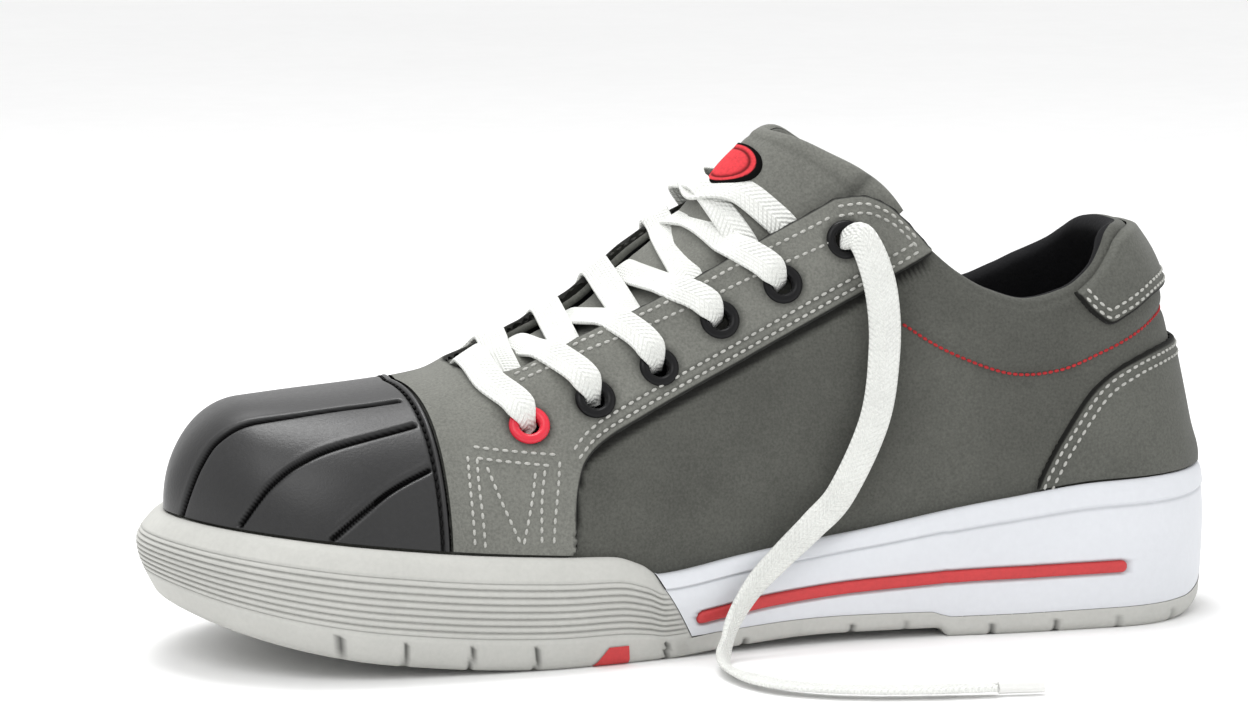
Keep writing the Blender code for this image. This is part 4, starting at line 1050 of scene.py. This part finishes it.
# rows of f and the angle up the last
capGrooves = (
    ((231, 1.22), (247, 1.21), (261, 1.17), (273, 1.11), (280, 1.02), (284, 0.86), (287, 0.62),
     (288.5, 0.42)),
    ((230, 0.97), (243, 0.91), (254, 0.83), (263, 0.71), (269, 0.57), (273, 0.43), (276.5, 0.29)),
    ((229, 0.66), (236, 0.595), (241, 0.535), (248, 0.415), (255.5, 0.27)),
)
capStations = np.concatenate([np.linspace(capSeam, 244.3, 58), toeCrowd(100)])
grooveAngles = [curve(rows) for rows in capGrooves]


def grooveLine(side, k):
    f = np.arange(capGrooves[k][0][0], capGrooves[k][-1][0], 0.15)
    return lastPoint(side, leanStation(f, grooveAngles[k](f)), grooveAngles[k](f))


def capExtra(side, f, angle, base):
    lift, shade = np.zeros(len(f)), np.zeros(len(f))
    for k, rows in enumerate(capGrooves):
        away = distanceTo(base, grooveLine(side, k))
        within = smooth((f - rows[0][0] + 1) / 3) * smooth((rows[-1][0] + 1 - f) / 3)
        lift += cap["ridge"] * (angle > grooveAngles[k](f)) * within * bell(away - 1.6, 0.7)
        lift -= cap["groove"] * bell(away, 0.66)
        # painted shade in each groove
        shade = np.maximum(shade, 1 - smooth((away - 0.45) / 0.6))
    # a raised piping between the rear edge and the seam line
    back = base[..., 0] - leanStation(capSeam, angle)
    seam = bell(back - cap["seam"], 0.5)
    lift += 0.3 * bell(back - 1.4, 0.6) - 0.6 * seam
    # painted shade in the seam line's groove
    return lift, np.maximum(shade, seam)


def capRear(side):
    angle = np.linspace(float(rimAngle(capSeam)), rightAngle, 200)
    return lastPoint(side, leanStation(capSeam, angle), angle)


overlay("toeCap", capStations, 190, lambda side, f: rimAngle(f), lambda side, f: rightAngle, (capRear,),
        cap, capRubber, ["toe_cap"], capExtra)
print("stage: overlays")

# Sole
sole = {"ribs": 8, "ribLow": 0.29, "ribHigh": 0.79, "ribDepth": 0.75, "rimShare": 0.84, "rimStep": 0.6}
divideRows = ((-12, 13.0), (3, 9.0), (14, 6.0), (84, 5.6), (90, 7.2), (120, 7.6), (150, 6.4), (160.5, 5.4))
divideAt = curve(divideRows)
jointLow, jointHigh, jointMiddle = (160.5, 5.4), (170.0, 23.0), 165.0
notches = (166.2, 203.0, 220.7, 238.3, 255.2)
rearNotches = (18, 36, 54, 72, 96, 112, 128, 144)
tread = {"pitch": 4.75, "deep": 1.1, "waves": 11, "swing": 2.3, "rim": 10.0, "border": 0.9}


def jointAt(z):
    return jointLow[0] + (jointHigh[0] - jointLow[0]) * (z - jointLow[1]) / (jointHigh[1] - jointLow[1])


def ribAt(share):
    inside = (share > sole["ribLow"]) & (share < sole["ribHigh"])
    phase = (share - sole["ribLow"]) / (sole["ribHigh"] - sole["ribLow"]) * sole["ribs"] % 1.0
    groove = bell(np.minimum(phase, 1 - phase), 0.17)
    return np.where(inside, -sole["ribDepth"] * groove, 0.0), np.where(inside, groove, 0.0)


def notchAt(f, share, places, reach):
    deep = np.zeros(np.shape(f))
    for place in places:
        deep = np.maximum(deep, np.exp(-((f - place) / 0.55) ** 4))
    return deep * smooth((reach - share) / 0.03)


ribShares = np.linspace(sole["ribLow"], sole["ribHigh"], sole["ribs"] * 8 + 1)
bumperShares = np.concatenate([[0.0, 0.012, 0.03, 0.06, 0.1, 0.14, 0.17, 0.2, 0.24], ribShares,
                               [0.82, 0.87, 0.91, 0.94, 0.965, 0.982, 0.993, 1.0]])
edgeRound = curve(((0.0, 1.5), (0.012, 0.85), (0.03, 0.35), (0.06, 0.0), (1.0, 0.0)))
topRound = curve(((0.0, 0.0), (0.93, 0.0), (0.965, 0.22), (0.982, 0.5), (0.993, 0.85), (1.0, 1.5)))
bumperStations = np.concatenate([np.arange(jointMiddle, 244, 1.0), toeCrowd(44)])
rearStations = np.concatenate([heelCrowd(30), np.arange(37, 84, 1.4), [84, 85, 86, 87, 88],
                               np.arange(89.5, jointMiddle, 1.4), [jointMiddle]])


def shareAt(f, z):
    # share of the sole's height, and the height back again
    return (z - bottomAt(f)) / (soleTop(f) - bottomAt(f))


def heightAt(f, share):
    return bottomAt(f) + share * (soleTop(f) - bottomAt(f))


def footEdges(f):
    # inner and outer edge of the underside
    return (wallPoint(side, f, 0.0, -edgeRound(0.0)) for side in sides)


def lipRow(side, f, v, rim=0.0):
    # from the rounded top edge in under the upper
    edge = wallPoint(side, f, 1.0, rim - topRound(1.0))
    away = lastAt(side, f, angleAtHeight(f, soleTop(f) - 0.6), -1.0)
    return edge + (away - edge) * v[:, None]


def bumperStation(u, share):
    # stations that shear towards the slanted joint with the midsole
    low = bottomAt(jointMiddle)
    z = low + share * (soleTop(167.0) - low)
    return stationAt(bumperStations)(u) + (jointAt(z) - jointMiddle) * (1 - u) ** 2


def buildOutsole():
    bm = newMesh()
    columns = len(bumperStations) - 1
    rows = stationAt(bumperShares)
    rear = stationAt(rearStations)
    for side in sides:
        def bumper(u, v):
            share = rows(v)
            f = bumperStation(u, share)
            rib, dark = ribAt(share)
            joint = smooth(u / 0.012)
            notch = notchAt(wallPoint(side, f, share)[..., 0], share, notches, 0.24)
            extra = rib * joint - edgeRound(share) - topRound(share) - 1.6 * notch - 0.3 * (1 - joint)
            # painted shade in the rib grooves and the notches
            return wallPoint(side, f, share, extra), np.maximum(0.35 * dark, 0.9 * notch)

        def strip(u, v):
            f = rear(u)
            share = v * shareAt(f, divideAt(f))
            notch = notchAt(f, share, rearNotches, 0.1)
            extra = -edgeRound(share) - 1.2 * notch
            # painted shade in the notches
            return wallPoint(side, f, share, extra), 0.8 * notch

        def lip(u, v):
            return lipRow(side, bumperStation(u, 1.0), v), 0.0
        fillGrid(bm, columns, len(bumperShares) - 1, bumper)
        fillGrid(bm, columns, 3, lip)
        fillGrid(bm, len(rearStations) - 1, 10, strip)
    # the underside's columns follow the zigzag, so that every fourth one is the floor of a groove
    quarter = tread["pitch"] / 4
    plain = np.arange(37.0, 243.0, quarter)
    under = np.concatenate([crowd(heelBack, 35.0, 44), plain, crowd(toeTip, -47.0, 60)[::-1]])
    station = stationAt(under)

    def underside(u, v):
        f = station(u)
        phase = v * tread["waves"] % 1.0
        swing = tread["swing"] * (2 * np.abs(2 * phase - 1) - 1) * smooth(np.minimum(v, 1 - v) / 0.1)
        swing = swing * smooth((f - 20) / 15) * smooth((262 - f) / 15)
        f = f + swing
        inner, outer = footEdges(f)
        point = inner + (outer - inner) * v[:, None]
        width = np.linalg.norm(outer - inner, axis=-1)
        rim = np.minimum(np.minimum(v, 1 - v) * width, np.minimum(f - heelBack, toeTip - f))
        zone = smooth((rim - tread["rim"]) / 1.5) * np.maximum(smooth((82 - f) / 2), smooth((f - 162) / 2))
        step = np.abs((f - swing - 37.0) / tread["pitch"] + 0.5) % 1.0 - 0.5
        groove = zone * (1 - smooth((np.abs(step) - 0.03) / 0.2))
        border = tread["border"] * bell(rim - tread["rim"] + 0.8, 0.9)
        point[:, 2] = bottomAt(point[:, 0]) + tread["deep"] * groove + border * smooth((rim - 4) / 3)
        # painted shade in the tread grooves and in the groove along the tread's border
        return point, np.maximum(0.75 * groove, 0.5 * border)
    fillGrid(bm, len(under) - 1, 8 * tread["waves"], underside)
    addPiece("outsoleRubber", bm, [greyRubber], ["outsole"], outward=(150, 0, 20), merge=wideMerge)


buildOutsole()

stripe = {"first": 33.5, "last": 159.0, "half": 1.75, "proud": 0.5, "depth": 1.1}
stripeHeight = curve(((33.5, 17.2), (69, 17.0), (108, 15.6), (137, 13.4), (159, 10.4)))


def buildMidsole():
    bm = newMesh()
    columns = len(rearStations) - 1
    rear = stationAt(rearStations)
    for side in sides:
        def rise(u, v):
            f = rear(u)
            start = shareAt(f, divideAt(f) + 0.08)
            share = start + (1 - start) * (1 - (1 - v) ** 1.15)
            shift = jointAt(heightAt(f, share)) - 0.12 - jointMiddle
            return f + shift * smooth((f - 140) / 25) ** 2, share

        def wall(u, v):
            f, share = rise(u, v)
            rim = sole["rimStep"] * smooth((share - sole["rimShare"]) / 0.012)
            line = bell(share - sole["rimShare"] + 0.01, 0.009)
            ends = np.minimum(f - stripe["first"], stripe["last"] - f)
            away = np.hypot(heightAt(f, share) - stripeHeight(f), np.minimum(0, ends - 1.5))
            channel = 1 - smooth((away - stripe["half"]) / 0.7)
            extra = rim - 0.35 * line - 1.0 * channel - topRound(share) - 0.15 * bell(v, 0.02)
            # painted shade in the rim's groove line and in the channel under the stripe
            return wallPoint(side, f, share, extra), np.maximum(0.5 * line, 0.7 * channel)

        def lip(u, v):
            return lipRow(side, rise(u, 1.0)[0], v, sole["rimStep"]), 0.0
        fillGrid(bm, columns, 84, wall)
        fillGrid(bm, columns, 3, lip)
    addPiece("midsoleCup", bm, [whiteRubber], ["midsole"], outward=(80, 0, 20), merge=wideMerge)
    for side in sides:
        bm = newMesh()

        def inlay(u, v):
            f = stripe["first"] + (stripe["last"] - stripe["first"]) * (0.5 - 0.5 * np.cos(math.pi * u))
            across = 2 * v - 1
            ends = np.minimum(f - stripe["first"], stripe["last"] - f)
            full = dome(1 - np.clip(ends / stripe["half"], 0, 1))
            share = shareAt(f, stripeHeight(f) + across * stripe["half"] * full)
            lift = (stripe["depth"] + stripe["proud"]) * dome(across ** 2) * full
            return wallPoint(side, f, share, lift - stripe["depth"]), 0.0
        fillGrid(bm, 160, 14, inlay)
        name = sideNames[side]
        addPiece("stripe" + name.capitalize(), bm, [redRubber], ["midsole_stripe_" + name],
                 outward=(95, 0, 14))


buildMidsole()

# turn is the share of its length that goes up each wall
flex = {"half": 4.0, "rise": 5.2, "proud": 0.35, "turn": 0.08}
flexAt = curve(((-75, 180.2), (-4, 187.0), (75, 148.0)))


def buildFlexLine():
    bm = newMesh()
    turn = flex["turn"]

    def across(v, f):
        # up the inner wall, across under the sole and up the outer wall
        inner, outer = footEdges(f)
        share = np.clip((v - turn) / (1 - 2 * turn), 0, 1)
        point = inner + (outer - inner) * share[:, None]
        point[:, 2] = bottomAt(point[:, 0]) - 0.05
        for side, part in ((medial, (turn - v) / turn), (lateral, (v - 1 + turn) / turn)):
            up = np.clip(part, 0, 1)
            wallShare = up * flex["rise"] / (soleTop(f) - bottomAt(f))
            wall = wallPoint(side, f, wallShare, flex["proud"] - edgeRound(wallShare))
            point = np.where((part > 0)[:, None], wall, point)
        return point

    def place(u, v):
        middle = np.where(v < 0.5, 184.0, 160.0)
        for _ in range(4):
            middle = flexAt(across(v, middle)[:, 1])
        up = np.clip((turn - v) / turn, 0, 1)
        half = flex["half"] + np.where(v < turn, 1.2 - 2.4 * up, 0.0)
        return across(v, middle - 1.6 * up + (2 * u - 1) * half), 0.0
    fillGrid(bm, 8, 120, place)
    addPiece("flexLine", bm, [redRubber], ["flex_line"], outward=(170, 0, 20))


buildFlexLine()
print("stage: sole")

# Stitches: one small thread loop repeated along rows on the leather
stitch = {"pitch": 2.5, "long": 1.8, "wide": 0.95, "high": 0.7}
redStitch = {"pitch": 1.7, "long": 1.5, "wide": 1.0, "high": 0.7}


def shiftLine(rows, distance):
    # a table line moved sideways, upwards for a line that runs to the toe
    rows = smoothRoute(rows, 0.5)
    along = unit(np.gradient(rows, axis=0))
    return rows + distance * np.stack([-along[:, 1], along[:, 0]], -1)


def stitchFrames(points, normals, pitch):
    lengths = runLengths(points)
    marks = np.arange(pitch / 2, lengths[-1], pitch)
    along = np.gradient(points, lengths, axis=0)
    place, along, up = (interpRows(marks, lengths, rows) for rows in (points, along, normals))
    return place, unit(along), unit(up)


def rowAt(side, f, angle, z, offset):
    return lastAt(side, f, angle, offset + relief(side, f, z)), lastNormal(side, f, angle)


def rowOnLast(side, rows, offset):
    f, z = rows[:, 0], rows[:, 1]
    return rowAt(side, f, angleAtHeight(f, z), z, offset)


def rowAtGap(side, f, gap, offset):
    angle = angleAtGap(side, f, gap)
    return rowAt(side, f, angle, lastPoint(side, f, angle)[..., 2], offset)


def buildStitches(name, rows, material, size=stitch):
    template = bmesh.new()
    bmesh.ops.create_uvsphere(template, u_segments=6, v_segments=4, radius=0.5)
    shape = np.array([v.co for v in template.verts])[:, [2, 0, 1]]
    shape = shape * (size["long"], size["wide"], size["high"])
    faces = [[v.index for v in face.verts] for face in template.faces]
    template.free()
    verts, polygons = [], []
    for points, normals in rows:
        place, along, up = stitchFrames(points, normals, size["pitch"])
        across = np.cross(up, along)
        for p, a, b, c in zip(place, along, across, up):
            start = len(verts)
            verts.extend((p + shape[:, :1] * a + shape[:, 1:2] * b + shape[:, 2:] * c).tolist())
            polygons.extend([[start + k for k in face] for face in faces])
    mesh = bpy.data.meshes.new(name)
    mesh.from_pydata(toWorld(verts).tolist(), [], polygons)
    bm = bmesh.new()
    bm.from_mesh(mesh)
    bpy.data.meshes.remove(mesh)
    addPiece(name, bm, [material], merge=None)


def onFacing(f):
    return facing["lift"] + 0.1 + facing["thick"] * thickRun(f)


lightRows, blackRows, redRows = [], [], []
for side in sides:
    quarterRun = facingEdge[2:-3]
    lobe = np.arange(91, 112, 0.5)
    for distance in (2.3, 4.7):
        run = shiftLine(quarterRun, distance)
        lightRows.append(rowOnLast(side, run, onFacing(run[:, 0]) - 0.1))
        run = np.stack([lobe, topLine(side, lobe) - 0.2 - distance], -1)
        lightRows.append(rowOnLast(side, run, onFacing(lobe)))
        run = shiftLine(((107, 92.5), (97, 97.7), (90, 101.5)), -distance)
        lightRows.append(rowOnLast(side, run, onFacing(run[:, 0]) - 0.1))
    throat = np.arange(113, 203, 0.5)
    for distance in (1.8, 4.0):
        lightRows.append(rowAtGap(side, throat, throatGap(throat) + distance, onFacing(throat)))
    for legRows in (((194.4, 53.5), (195.6, 46.5), (197, 39), (197.8, 32.5)),
                    ((198.6, 51.5), (200.2, 44), (200.8, 37), (201, 32.5)),
                    ((218.4, 55), (219, 47.5), (219, 33.5)), ((216, 54.5), (216.6, 47.5), (216.3, 33.5)),
                    ((195, 54.8), (207, 55.8), (217.5, 57)), ((197, 52.2), (207.5, 53.3), (216.5, 54.3)),
                    ((213.9, 52.5), (211.5, 45), (208.5, 37.6), (206.5, 33)),
                    ((201.2, 51.0), (202.6, 45), (204.4, 38.5), (206, 33))):
        run = smoothRoute(legRows, 0.5)
        lightRows.append(rowOnLast(side, run, onFacing(run[:, 0])))
    for distance in (-2.0, -4.4):
        lightRows.append(rowOnLast(side, shiftLine(counterEdge, distance), counter["lift"] + 0.1))
    for distance in (1.8, 3.9):
        lightRows.append(rowOnLast(side, shiftLine(tabEdge[:-1], distance), tab["lift"] + 0.1))
    redRows.append(rowOnLast(side, smoothRoute(collarSeam, 0.5), 0.25))
    rise = np.linspace(float(rimAngle(capSeam)) + 0.02, rightAngle - 0.02, 120)
    station = leanStation(capSeam, rise) + cap["seam"]
    blackRows.append((lastAt(side, station, rise, cap["lift"] - 0.3), lastNormal(side, station, rise)))
buildStitches("stitchesLight", lightRows, threadLight)
buildStitches("stitchesBlack", blackRows, threadBlack)
buildStitches("stitchesRed", redRows, threadRed, redStitch)
print("stage: stitches")

# Floor, light and world
studio = {"floor": (0.9, 0.9, 0.9), "world": (1.0, 1.0, 1.0), "worldStrength": 1.0, "key": 5.0, "fill": 1.5,
          "top": 9.0}


def buildStudio():
    bm = bmesh.new()
    bmesh.ops.create_grid(bm, x_segments=1, y_segments=1, size=6.0)
    mesh = bpy.data.meshes.new("floor")
    bm.to_mesh(mesh)
    bm.free()
    mesh.materials.append(surface("paleFloor", studio["floor"], 0.7, (3, 0.01), (40, 0.01), (60, 0.01)))
    floor = addObject("floor", mesh)
    world = bpy.data.worlds.new("studio")
    world.use_nodes = True
    world.node_tree.nodes["Background"].inputs["Color"].default_value = (*studio["world"], 1)
    world.node_tree.nodes["Background"].inputs["Strength"].default_value = studio["worldStrength"]
    scene.world = world
    for name, place, size, power in (("key", (-0.7, -0.75, 1.15), 0.8, studio["key"]),
                                     ("fill", (0.9, -1.0, 0.55), 1.0, studio["fill"]),
                                     ("top", (-0.1, 0.3, 1.15), 0.6, studio["top"])):
        light = bpy.data.lights.new(name, "AREA")
        light.size, light.energy = size, power
        lamp = addObject(name, light)
        lamp.location = place
        lamp.rotation_mode = "QUATERNION"
        lamp.rotation_quaternion = (Vector(place) - Vector((0, 0, 0.05))).to_track_quat("Z", "Y")
    scene.view_settings.view_transform = "Standard"


buildStudio()
print("stage: studio")
